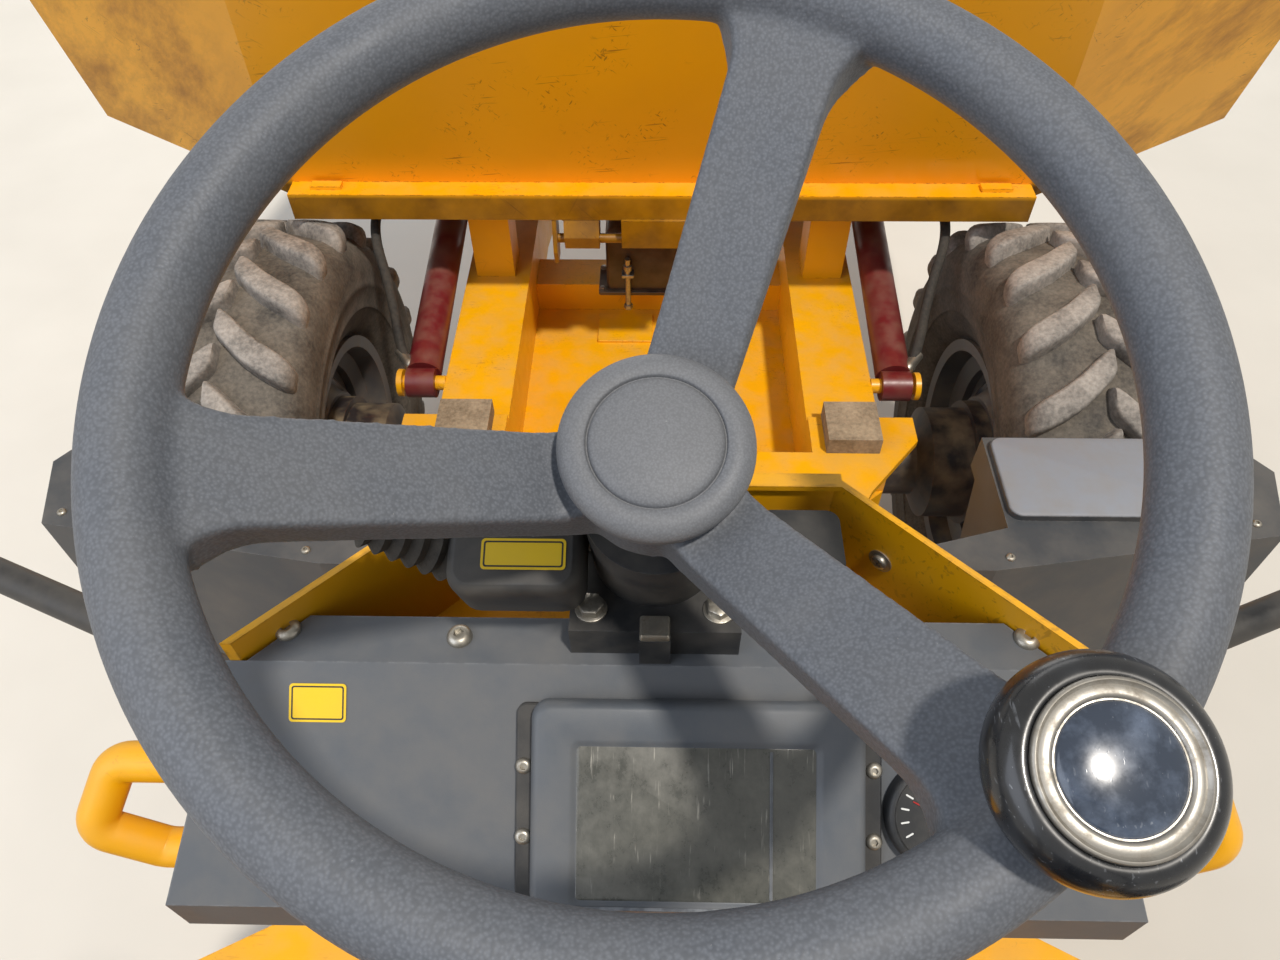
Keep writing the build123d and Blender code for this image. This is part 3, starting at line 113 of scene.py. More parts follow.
class Shader:
    """A material under construction: its tree, its object coordinates and the last colour mix."""

    def __init__(self, name: str) -> None:
        """Starts an empty material.

        Args:
            name: The real material and how its surface was made.
        """
        self.material = bpy.data.materials.new(name)
        self.material.use_nodes = True
        self.tree = self.material.node_tree
        self.tree.nodes.clear()
        self.coords = add_node(self.tree, "ShaderNodeTexCoord").outputs["Object"]

    def noise(self, size_mm: float, detail: float = 3.0, rough: float = 0.5, stretch: Point = (1, 1, 1),
              seed: float = 0.0, turn: Point = (0, 0, 0)) -> bpy.types.NodeSocket:
        """Noise whose lumps are about the given size.

        Args:
            size_mm: Size of one lump in real millimetres.
            detail: Octaves of finer noise.
            rough: Strength of the finer octaves.
            stretch: Factor on the coordinates along each axis.
            seed: Offset that makes the pattern differ.
            turn: Turn of the stretched coordinates about each axis in radians.

        Returns:
            The noise as a factor from 0 to 1.
        """
        shift = (seed, seed * 0.7, seed * 1.3)
        turned = add_node(self.tree, "ShaderNodeMapping", {0: self.coords, 1: shift, 2: turn})
        place = add_node(self.tree, "ShaderNodeMapping", {0: turned.outputs[0], 3: stretch})
        return add_node(self.tree, "ShaderNodeTexNoise", {"Vector": place.outputs[0], "Scale": 1000 / size_mm,
                                                          "Detail": detail, "Roughness": rough}).outputs[0]

    def cells(self, size_mm: float) -> bpy.types.NodeSocket:
        """Soft distance to the nearest cell centre, with cells of about the given size."""
        return add_node(self.tree, "ShaderNodeTexVoronoi", {"Vector": self.coords, "Scale": 1000 / size_mm},
                        feature="SMOOTH_F1").outputs["Distance"]

    def ramp(self, value: bpy.types.NodeSocket, low: float, high: float, start: float = 0.0,
             end: float = 1.0) -> bpy.types.NodeSocket:
        """Maps a value from one range to another and clamps it."""
        limits = {0: value, 1: low, 2: high, 3: start, 4: end}
        return add_node(self.tree, "ShaderNodeMapRange", limits).outputs[0]

    def math(self, how: str, first, second=0.0) -> bpy.types.NodeSocket:
        """One sum of two values."""
        return add_node(self.tree, "ShaderNodeMath", {0: first, 1: second}, operation=how).outputs[0]

    def mix(self, factor, first, second) -> bpy.types.NodeSocket:
        """Mixes two colours, each a hex string or a socket."""
        pair = [linear(c) if isinstance(c, str) else c for c in (first, second)]
        both = add_node(self.tree, "ShaderNodeMix", {0: factor, 6: pair[0], 7: pair[1]}, data_type="RGBA")
        return both.outputs[2]

    def upward(self, low: float = 0.2, high: float = 0.95) -> bpy.types.NodeSocket:
        """How much the surface looks up, where dust settles."""
        normal = add_node(self.tree, "ShaderNodeNewGeometry").outputs["Normal"]
        height = add_node(self.tree, "ShaderNodeSeparateXYZ", {0: normal}).outputs[2]
        return self.ramp(height, low, high)

    def edges(self, width_mm: float = 3.0) -> bpy.types.NodeSocket:
        """A mask of worn edges from the difference between the rounded and the true normal."""
        soft = add_node(self.tree, "ShaderNodeBevel", {"Radius": width_mm * MM}, samples=4).outputs[0]
        true = add_node(self.tree, "ShaderNodeNewGeometry").outputs["Normal"]
        dot = add_node(self.tree, "ShaderNodeVectorMath", {0: soft, 1: true}, operation="DOT_PRODUCT")
        return self.ramp(dot.outputs["Value"], 0.995, 0.90)

    def finish(self, colour, rough, bump=None, depth_mm: float = 0.1, **values) -> bpy.types.Material:
        """Closes the material with one surface.

        Args:
            colour: Hex string or socket.
            rough: Number or socket.
            bump: Height socket, or nothing for a smooth surface.
            depth_mm: Height of the bump in millimetres.
            **values: Further inputs of the surface, with spaces written as underscores.

        Returns:
            The finished material.
        """
        inputs = {"Base Color": linear(colour) if isinstance(colour, str) else colour, "Roughness": rough}
        inputs.update({name.replace("_", " "): value for name, value in values.items()})
        if bump is not None:
            relief = {"Strength": 1.0, "Distance": depth_mm * MM, "Height": bump}
            inputs["Normal"] = add_node(self.tree, "ShaderNodeBump", relief).outputs[0]
        surface = add_node(self.tree, "ShaderNodeBsdfPrincipled", inputs)
        add_node(self.tree, "ShaderNodeOutputMaterial", {0: surface.outputs[0]})
        return self.material


@dataclass(frozen=True)
class Finish:
    """A finish that a piece can take; each kind below draws its own material once."""

    name: str
    colour: str

    def material(self) -> bpy.types.Material:
        """The finish's material, drawn the first time it is asked for."""
        return bpy.data.materials.get(self.name) or self.draw(Shader(self.name))

    def draw(self, shader: Shader) -> bpy.types.Material:
        """Draws the material. Each kind of finish has its own."""
        raise NotImplementedError


@dataclass(frozen=True)
class Enamel(Finish):
    """Sprayed machine enamel with dust, dull patches, scratches and rust at worn edges."""

    dust: str = "9C8A6C"
    dust_share: float = 0.35
    rust: str = "6A3410"
    wear: float = 0.5
    sheen: float = 0.34
    stain: float = 0.16
    worn_beyond: float = 0.0
    muddy_below: float = 0.0

    def draw(self, shader: Shader) -> bpy.types.Material:
        """Draws the enamel."""
        blotch = shader.ramp(shader.noise(160, 4), 0.35, 0.7)
        shade = shader.mix(shader.math("MULTIPLY", blotch, self.stain), self.colour, self.rust)
        where = shader.ramp(shader.noise(110, 3, 0.55, seed=7.0), 0.52, 0.66)
        scratch = None
        for lean in (0.5, -0.75, 1.45):
            streak = shader.noise(4.5, 2, 0.6, (1, 1, 0.035), 3.0 + lean, (0, lean, 0))
            line = shader.math("MULTIPLY", shader.ramp(streak, 0.635, 0.70), where)
            scratch = line if scratch is None else shader.math("MAXIMUM", scratch, line)
        chips = shader.math("MULTIPLY", shader.edges(), shader.ramp(shader.noise(9, 4, seed=2.0), 0.45, 0.62))
        marks = shader.math("MAXIMUM", shader.math("MULTIPLY", scratch, 0.75), chips)
        marks = shader.math("MULTIPLY", marks, self.wear)
        if self.worn_beyond:
            across = add_node(shader.tree, "ShaderNodeSeparateXYZ", {0: shader.coords}).outputs[0]
            far = shader.math("ABSOLUTE", across)
            outer = shader.ramp(far, self.worn_beyond - 0.05, self.worn_beyond + 0.06)
            scrape = shader.ramp(shader.noise(120, 7, 0.72, (1, 1, 0.45), 5.0, (0, 0.6, 0)), 0.44, 0.66)
            grime = shader.math("MULTIPLY", shader.math("MULTIPLY", scrape, outer), 0.6)
            marks = shader.math("MAXIMUM", marks, grime)
        shade = shader.mix(marks, shade, self.rust)
        # Below the given height the enamel turns darker brown in noisy patches.
        if self.muddy_below:
            height = add_node(shader.tree, "ShaderNodeSeparateXYZ", {0: shader.coords}).outputs[2]
            low = shader.ramp(height, self.muddy_below + 0.004, self.muddy_below - 0.004)
            patchy_mask = shader.ramp(shader.noise(70, 4, 0.6, seed=8.0), 0.2, 0.7, 0.55, 0.85)
            shade = shader.mix(shader.math("MULTIPLY", low, patchy_mask), shade, "4A2C0A")
        settle = shader.math("MULTIPLY", shader.upward(-0.4, 1.0),
                             shader.ramp(shader.noise(45, 5, seed=5.0), 0.38, 0.70))
        shade = shader.mix(shader.math("MULTIPLY", settle, self.dust_share), shade, self.dust)
        rough = shader.math("ADD", shader.ramp(settle, 0, 1, self.sheen, 0.75),
                            shader.math("MULTIPLY", marks, 0.3))
        peel = shader.noise(2.2, 2)
        return shader.finish(shade, rough, peel, 0.04, Coat_Weight=0.15, Coat_Roughness=0.3)


@dataclass(frozen=True)
class PowderCoat(Finish):
    """Oven-baked powder coat with its fine orange peel, dust and rubbed edges."""

    bare: str = "8F9193"
    grain_mm: float = 0.9
    rough: float = 0.48
    dust_share: float = 0.25
    dirt_mm: float = 38.0

    def draw(self, shader: Shader) -> bpy.types.Material:
        """Draws the powder coat."""
        grain = shader.noise(self.grain_mm, 2, 0.6)
        dirt = shader.ramp(shader.noise(self.dirt_mm, 5, 0.6), 0.36, 0.72)
        shade = shader.mix(shader.math("MULTIPLY", dirt, self.dust_share), self.colour, "8C857A")
        rub = shader.math("MULTIPLY", shader.edges(1.6), shader.ramp(shader.noise(6, 3), 0.42, 0.6))
        shade = shader.mix(shader.math("MULTIPLY", rub, 0.55), shade, self.bare)
        return shader.finish(shade, shader.ramp(dirt, 0, 1, self.rough, 0.72), grain, 0.05)


@dataclass(frozen=True)
class GrainedPolymer(Finish):
    """Moulded polyurethane with a leather-like grain and paler, rougher worn patches."""

    light: str = "6B7076"
    grain_mm: float = 1.5
    rough: float = 0.50
    depth_mm: float = 0.10

    def draw(self, shader: Shader) -> bpy.types.Material:
        """Draws the polymer."""
        pebble = shader.cells(self.grain_mm)
        fine = shader.noise(0.6, 2)
        height = shader.math("ADD", pebble, shader.math("MULTIPLY", fine, 0.35))
        worn = shader.ramp(shader.noise(34, 4), 0.35, 0.7)
        shade = shader.mix(shader.ramp(pebble, 0.15, 0.6, 0.0, 0.55), self.light, self.colour)
        shade = shader.mix(shader.math("MULTIPLY", worn, 0.12), shade, "8A8782")
        fleck = shader.ramp(shader.noise(1.6, 3, 0.7, seed=4.0), 0.72, 0.78)
        shade = shader.mix(shader.math("MULTIPLY", fleck, 0.35), shade, "BDBAB4")
        rough = shader.ramp(worn, 0, 1, self.rough, self.rough + 0.14)
        return shader.finish(shade, rough, height, self.depth_mm, Specular_IOR_Level=0.4)


@dataclass(frozen=True)
class GlossPolymer(Finish):
    """Polished thermoset with fine scratches and dust specks."""

    rough: float = 0.16
    haze: str = "6F7B8C"
    haze_share: float = 0.25

    def draw(self, shader: Shader) -> bpy.types.Material:
        """Draws the polished plastic."""
        cloud = shader.ramp(shader.noise(14, 5, 0.65), 0.4, 0.7)
        hair = shader.ramp(shader.noise(1.2, 2, 0.5, (1, 0.06, 1), 2.0), 0.66, 0.72)
        speck = shader.ramp(shader.noise(0.9, 2, 0.6, seed=9.0), 0.74, 0.78)
        marks = shader.math("MAXIMUM", shader.math("MULTIPLY", hair, cloud), speck)
        # Pale clouds: a dull film on the knob, and on the dome a painted reflection of the sky.
        shade = shader.mix(shader.math("MULTIPLY", cloud, self.haze_share), self.colour, self.haze)
        shade = shader.mix(shader.math("MULTIPLY", marks, 0.4), shade, "C8CCD2")
        rough = shader.ramp(cloud, 0, 1, self.rough, self.rough + 0.16)
        return shader.finish(shade, rough, marks, 0.02, Coat_Weight=0.3, Coat_Roughness=0.08)


@dataclass(frozen=True)
class Metal(Finish):
    """Bare or plated steel, turned or rolled, with a little tarnish."""

    rough: float = 0.28
    tarnish: str = "6E6557"

    def draw(self, shader: Shader) -> bpy.types.Material:
        """Draws the metal."""
        spots = shader.ramp(shader.noise(7, 5, 0.7), 0.45, 0.7)
        grain = shader.noise(0.5, 2)
        shade = shader.mix(shader.math("MULTIPLY", spots, 0.6), self.colour, self.tarnish)
        rough = shader.ramp(spots, 0, 1, self.rough, self.rough + 0.25)
        return shader.finish(shade, rough, grain, 0.02, Metallic=0.9)


@dataclass(frozen=True)
class Rubber(Finish):
    """Vulcanised rubber with patchy dust, most on all that looks up."""

    dust: str = "9A8F7F"
    dust_share: float = 0.55
    grain_mm: float = 3.0

    def draw(self, shader: Shader) -> bpy.types.Material:
        """Draws the rubber."""
        patchy_mask = shader.ramp(shader.noise(60, 6, 0.62), 0.30, 0.62)
        fine = shader.ramp(shader.noise(7, 4, 0.6, seed=3.0), 0.35, 0.7)
        patches = shader.math("ADD", shader.math("MULTIPLY", patchy_mask, 0.6), shader.math("MULTIPLY", fine, 0.4))
        settle = shader.math("MULTIPLY", patches, shader.ramp(shader.upward(-1.0, 0.8), 0, 1, 0.45))
        shade = shader.mix(shader.math("MULTIPLY", settle, self.dust_share), self.colour, self.dust)
        rough = shader.ramp(patchy_mask, 0, 1, 0.72, 0.93)
        return shader.finish(shade, rough, shader.noise(self.grain_mm, 4, 0.6), 0.35)


@dataclass(frozen=True)
class Lens(Finish):
    """Moulded clear-coloured polycarbonate over a ribbed back."""

    def draw(self, shader: Shader) -> bpy.types.Material:
        """Draws the lens."""
        ribs = shader.noise(4, 1, 0.5, (1, 0.05, 1))
        shade = shader.mix(shader.ramp(shader.noise(25, 4), 0.4, 0.7, 0, 0.3), self.colour, "8C7A66")
        return shader.finish(shade, 0.14, ribs, 0.3, Transmission_Weight=0.15, Coat_Weight=0.5)


@dataclass(frozen=True)
class Screen(Finish):
    """Anti-glare display glass with smeared dust and scratches."""

    def draw(self, shader: Shader) -> bpy.types.Material:
        """Draws the glass."""
        smear = shader.ramp(shader.noise(9, 7, 0.7, (1, 0.6, 1)), 0.30, 0.75)
        hair = shader.ramp(shader.noise(1.6, 3, 0.6, (1, 0.05, 0.05), 6.0), 0.62, 0.70)
        marks = shader.math("MULTIPLY", hair, shader.ramp(shader.noise(12, 3), 0.45, 0.6))
        shade = shader.mix(shader.math("MULTIPLY", smear, 0.45), self.colour, "7F7C72")
        shade = shader.mix(shader.math("MULTIPLY", marks, 0.6), shade, "B5B0A4")
        rough = shader.ramp(smear, 0, 1, 0.2, 0.5)
        return shader.finish(shade, rough, marks, 0.02, Coat_Weight=0.4, Coat_Roughness=0.15)


@dataclass(frozen=True)
class Vinyl(Finish):
    """Calendered vinyl cloth with a leather grain."""

    def draw(self, shader: Shader) -> bpy.types.Material:
        """Draws the vinyl."""
        grain = shader.cells(1.8)
        dust = shader.ramp(shader.noise(50, 5, 0.6), 0.42, 0.7)
        shade = shader.mix(shader.math("MULTIPLY", dust, 0.3), self.colour, "7A7266")
        return shader.finish(shade, shader.ramp(dust, 0, 1, 0.45, 0.7), grain, 0.12)


@dataclass(frozen=True)
class Plain(Finish):
    """Matt studio floor paper with a faint mottle."""

    def draw(self, shader: Shader) -> bpy.types.Material:
        """Draws the paper."""
        shade = shader.mix(shader.ramp(shader.noise(300, 3), 0.3, 0.7, 0.0, 0.10), self.colour, "A59F94")
        return shader.finish(shade, 0.9, shader.noise(4, 3), 0.05)


# Enamels: an even, slightly wavy gloss that goes dull under dust and shows rust where it is scraped
PAINT = Enamel("Alkyd enamel, sprayed orange-yellow", "F2AE04", dust_share=0.22, stain=0.12)
SKIP_PAINT = Enamel("Alkyd enamel, sprayed orange-yellow, scraped", "F4AC02", wear=0.85, dust_share=0.10,
                    stain=0.07, worn_beyond=0.70, muddy_below=0.956)
AXLE = Enamel("Alkyd enamel, brushed black", "26272A", dust_share=0.75, wear=0.6, sheen=0.5)
CASTING = Enamel("Grey iron, sand-cast and painted", "3A3C40", dust_share=0.5, wear=0.4, sheen=0.5)
RAM_PAINT = Enamel("Alkyd enamel, sprayed maroon", "6A1A22", dust_share=0.25, wear=0.5)
LATCH_PAINT = Enamel("Alkyd enamel, sprayed brown-black", "2C211B", dust_share=0.5, wear=0.6)
# Painted shade: the rims are dark grey to stand in for the shade inside the wheels; their own paint colour is not
# known.
RIM_SHADE_GREY = Enamel("Alkyd enamel, sprayed dark grey", "4A4D50", dust_share=0.6, wear=0.7)
# Powder coats and moulded shells: a fine pebble that spreads the highlight, rubbed pale at the edges
DASH_COAT = PowderCoat("Polyester powder coat, baked dark grey", "565A5F")
BEZEL = PowderCoat("Glass-filled nylon, moulded grey", "565B61", grain_mm=0.6, rough=0.42)
BLACK_STEEL = PowderCoat("Polyester powder coat, baked black", "1C1D1F", bare="5B5C5E", rough=0.4)
BLACK_PLASTIC = PowderCoat("Nylon, moulded black", "202225", bare="47494C", grain_mm=0.6, rough=0.5)
GUARD = PowderCoat("Polyethylene, rotation-moulded grey", "3E4145", bare="77797B", grain_mm=1.4,
                   dust_share=0.38, dirt_mm=110.0)
# Grained and glossy polymers: leather-like pebbles on the grips, a deep mirror under a dull film on the knob, a
# painted sky reflection on the dome
GRIP = GrainedPolymer("Polyurethane, moulded with grain", "45484D", light="696D74", grain_mm=1.1)
CAP = GrainedPolymer("Polyurethane, moulded fine grain", "5A5C5F", light="74767A", grain_mm=0.8, depth_mm=0.04)
KNOB = GlossPolymer("Phenolic resin, moulded black", "14161A", rough=0.24, haze="30343A", haze_share=0.3)
# The dome's pale blue clouds are a painted reflection of the sky.
DOME = GlossPolymer("Phenolic resin, polished blue-black", "2E3847", rough=0.16, haze="7E8CA2", haze_share=0.45)
# Bare metals: a tight highlight broken by spots of tarnish
RING = Metal("Zinc-plated steel, turned", "A5A29C", rough=0.40)
BOLT = Metal("Zinc-plated steel, cold-formed", "A9A59C", rough=0.38)
CHROME = Metal("Steel, ground and hard-chromed", "D4D3D0", rough=0.12)
# Rubbers: no highlight, and pale dust on all that looks up
# The casing is darker and the lugs paler: the lugs are scuffed, and the darker grooves and sidewalls are also
# painted shade.
TYRE = Rubber("Natural rubber, moulded and dusty", "2F2C29", dust="7F766A", dust_share=0.95)
LUG_RUBBER = Rubber("Natural rubber, moulded, worn pale by gravel", "4A4743", dust="B4ABA1", dust_share=1.0)
PAD = Rubber("Natural rubber, cut block", "5E503E", dust="B09D82", dust_share=1.0)
HOSE = Rubber("Nitrile rubber, braided and covered", "161616", dust_share=0.2, grain_mm=1.0)
# Glass, cloth and lenses: each takes the light in its own way, from matt to clear
SCREEN = Screen("Glass, etched anti-glare", "454641")
VINYL = Vinyl("Polyvinyl chloride, calendered black", "1A1A1B")
RED_LENS = Lens("Polycarbonate, moulded red", "A01010")
AMBER_LENS = Lens("Polycarbonate, moulded amber", "F07808")
MIRROR = Metal("Float glass, silvered behind", "E6E8EA", rough=0.05, tarnish="C9CCCE")
# Inks, films and sheets: flat colour under a thin film of dust
DIAL_WHITE = PowderCoat("Ink, screen-printed white", "E4E4E0", bare="E4E4E0", dust_share=0.1)
RED_PAINT = PowderCoat("Ink, sprayed red", "B01814", bare="B01814", dust_share=0.1)
INK = PowderCoat("Ink, screen-printed black", "1B1A17", bare="1B1A17", dust_share=0.1)
PALE_PLATE = PowderCoat("Polyethylene, moulded light grey", "8A8E96", bare="A7A9AB", grain_mm=1.2,
                        dust_share=0.45)
STICKER = PowderCoat("Vinyl film, printed yellow", "F2C80E", bare="F2C80E", grain_mm=0.5, dust_share=0.12)
FLOOR = Plain("Paper, studio backdrop", "D9D4CA")

NODE_FINISH: dict[str, Finish] = {
    "rear_frame": PAINT, "front_frame": PAINT, "platform": PAINT, "console_body": PAINT, "side_panels": PAINT,
    "bonnet": PAINT, "side_loops": PAINT, "side_tanks": PAINT, "skip": SKIP_PAINT, "dash_panel": DASH_COAT,
    "front_mudguards": GUARD, "rear_mudguards": GUARD, "mirror_arms": BLACK_STEEL, "mirror_glasses": MIRROR,
    "pedals": BLACK_STEEL,
    "rops_posts": BLACK_STEEL, "rops_hoop": BLACK_STEEL, "steering_column": BLACK_PLASTIC,
    "shuttle_lever": BLACK_PLASTIC, "seat_pedestal": BLACK_STEEL, "front_axle": AXLE, "rear_axle": AXLE,
    "rear_counterweight": CASTING, "engine": CASTING, "tip_barrel_left": RAM_PAINT,
    "tip_barrel_right": RAM_PAINT,
    "steer_barrel": RAM_PAINT, "tip_rod_left": CHROME, "tip_rod_right": CHROME, "steer_rod": CHROME,
    "rest_pads": PAD, "steering_wheel": GRIP, "hub_cap": CAP, "spinner_knob": KNOB, "spinner_ring": RING,
    "spinner_dome": DOME, "display_housing": BEZEL, "display_screen": SCREEN, "round_gauge": BLACK_PLASTIC,
    "seat_cushion": VINYL, "seat_back": VINYL, "rear_lamps": RED_LENS, "beacon": AMBER_LENS,
    **{f"tyre_{corner.label}": TYRE for corner in Corner},
    **{f"rim_{corner.label}": RIM_SHADE_GREY for corner in Corner},
}


@dataclass(frozen=True)
class Studio:
    """The floor, the lights and the camera at the photographer's eye."""

    eye: Point = (-0.0003, 0.6206, 1.9352)
    yaw: float = math.radians(1.59)
    pitch: float = math.radians(50.0)
    roll: float = math.radians(0.70)
    lens_mm: float = 26.44
    floor_size: float = 60.0
    key_from: Point = (-0.25, 0.32, 0.91)
    sky: float = 0.42
    wall: float = 0.85

    def build(self) -> None:
        """Makes the floor, the lights and the camera."""
        self.floor()
        self.light("fill", (3.5, 2.5, 4.0), (0, 0, 1.0), 4.0, 110, "E8F0FF")
        self.light("front", (0.5, -6.0, 3.0), (0, -1.0, 0.8), 4.0, 90, "FFFFFF")
        key = bpy.data.lights.new("key", "SUN")
        key.energy = 2.7
        key.angle = math.radians(4.0)
        key.color = linear("FFF8EE")[:3]
        holder = bpy.data.objects.new("key", key)
        bpy.context.scene.collection.objects.link(holder)
        holder.rotation_euler = Vector(self.key_from).to_track_quat("Z", "Y").to_euler()
        self.backdrop()
        self.camera()
        bpy.context.scene.view_settings.view_transform = "Standard"

    def backdrop(self) -> None:
        """A dim cool sky that lights the machine, and a pale wall that is seen and mirrored."""
        world = bpy.data.worlds.new("studio")
        world.use_nodes = True
        tree = world.node_tree
        tree.nodes.clear()
        sky = add_node(tree, "ShaderNodeBackground", {"Color": linear("DDE6F2"), "Strength": self.sky})
        wall = add_node(tree, "ShaderNodeBackground", {"Color": linear("ECE8E0"), "Strength": self.wall})
        path = add_node(tree, "ShaderNodeLightPath")
        seen = path.outputs["Is Camera Ray"]
        for ray in ("Is Glossy Ray", "Is Transmission Ray"):
            seen = add_node(tree, "ShaderNodeMath", {0: seen, 1: path.outputs[ray]}, operation="MAXIMUM").outputs[0]
        shown = add_node(tree, "ShaderNodeMixShader", {0: seen, 1: sky.outputs[0], 2: wall.outputs[0]})
        add_node(tree, "ShaderNodeOutputWorld", {0: shown.outputs[0]})
        bpy.context.scene.world = world

    def floor(self) -> None:
        """A large plain sheet at ground level."""
        half = self.floor_size / 2
        mesh = bpy.data.meshes.new("floor")
        corners = [(-half, -half, 0), (half, -half, 0), (half, half, 0), (-half, half, 0)]
        mesh.from_pydata(corners, [], [(0, 1, 2, 3)])
        sheet = bpy.data.objects.new("floor", mesh)
        bpy.context.scene.collection.objects.link(sheet)
        mesh.materials.append(FLOOR.material())

    def light(self, name: str, place: Point, target: Point, size: float, power: float, colour: str) -> None:
        """A square soft light aimed at a point."""
        lamp = bpy.data.lights.new(name, "AREA")
        lamp.size = size
        lamp.energy = power
        lamp.color = linear(colour)[:3]
        holder = bpy.data.objects.new(name, lamp)
        bpy.context.scene.collection.objects.link(holder)
        holder.location = place
        holder.rotation_euler = (Vector(target) - Vector(place)).to_track_quat("-Z", "Y").to_euler()

    def camera(self) -> None:
        """The camera, turned as the photograph was taken: over the wheel, looking forward and down."""
        ahead = Vector((math.sin(self.yaw) * math.cos(self.pitch), -math.cos(self.yaw) * math.cos(self.pitch),
                        -math.sin(self.pitch)))
        across = Vector((-math.cos(self.yaw), -math.sin(self.yaw), 0))
        down = ahead.cross(across)
        right = across * math.cos(self.roll) + down * math.sin(self.roll)
        up = across * math.sin(self.roll) - down * math.cos(self.roll)
        turn = Matrix((right, up, -ahead)).transposed()
        eye = bpy.data.cameras.new("eye")
        eye.sensor_width = 36.0
        eye.lens = self.lens_mm
        eye.clip_start = 0.02
        holder = bpy.data.objects.new("eye", eye)
        bpy.context.scene.collection.objects.link(holder)
        holder.matrix_world = Matrix.Translation(self.eye) @ turn.to_4x4()
        bpy.context.scene.camera = holder


class CadFinishes:
    """Gives every CAD node that stays in view its finish."""

    def build(self) -> None:
        """Replaces the plain materials that came with the frame."""
        for name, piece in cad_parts.items():
            piece.data.materials.clear()
            piece.data.materials.append(NODE_FINISH[name].material())
            for polygon in piece.data.polygons:
                polygon.material_index = 0


# Mesh helpers, all in millimetres until the mesh is closed

def plane_matrix(origin: Point, across: Point, out: Point) -> Matrix:
    """Turns a plane into a matrix that carries its own coordinates to the machine's.

    Args:
        origin: The plane's origin in millimetres.
        across: Direction of its X axis.
        out: Direction of its normal.

    Returns:
        The matrix, still in millimetres.
    """
    z_axis = Vector(out).normalized()
    x_axis = (Vector(across) - Vector(across).project(z_axis)).normalized()
    matrix = Matrix((x_axis, z_axis.cross(x_axis), z_axis)).transposed().to_4x4()
    matrix.translation = Vector(origin)
    return matrix


WHEEL_TILT = math.radians(21.4)
WHEEL_PLACE = plane_matrix((0, 400, 1720), (-1, 0, 0), (0, math.sin(WHEEL_TILT), math.cos(WHEEL_TILT)))
DASH_PLACE = plane_matrix((0, 480, 1419), (-1, 0, 0), (0, 79, 100))


class RingShape(Enum):
    """Outlines that a ring of points can take."""

    ROUND = "round"
    HEX = "hex"
    CROSS = "cross"


def ring_points(radius: float, height: float, count: int = 24,
                shape: RingShape = RingShape.ROUND) -> list[Vector]:
    """Points of one ring about the Z axis.

    Args:
        radius: Its radius, to a hexagon's flats or a cross's arm ends.
        height: Its height along Z.
        count: Number of points.
        shape: Outline of the ring.

    Returns:
        The points in order.
    """
    points = []
    for step in range(count):
        turn = 2 * math.pi * step / count
        reach = radius
        if shape is RingShape.HEX:
            reach = radius / math.cos((turn % (math.pi / 3)) - math.pi / 6)
        elif shape is RingShape.CROSS:
            reach = radius * (0.34 + 0.66 * abs(math.cos(2 * turn)) ** 6)
        points.append(Vector((reach * math.cos(turn), reach * math.sin(turn), height)))
    return points


def rounded_outline(width: float, height: float, radius: float, steps: int = 6) -> list[tuple[float, float]]:
    """Corner-rounded rectangle about the origin, as points in order."""
    radius = min(radius, width / 2 - 0.01, height / 2 - 0.01)
    points = []
    for quarter, (sx, sy) in enumerate([(1, 1), (-1, 1), (-1, -1), (1, -1)]):
        for step in range(steps + 1):
            turn = math.pi / 2 * (quarter + step / steps)
            points.append((sx * (width / 2 - radius) + radius * math.cos(turn),
                           sy * (height / 2 - radius) + radius * math.sin(turn)))
    return points


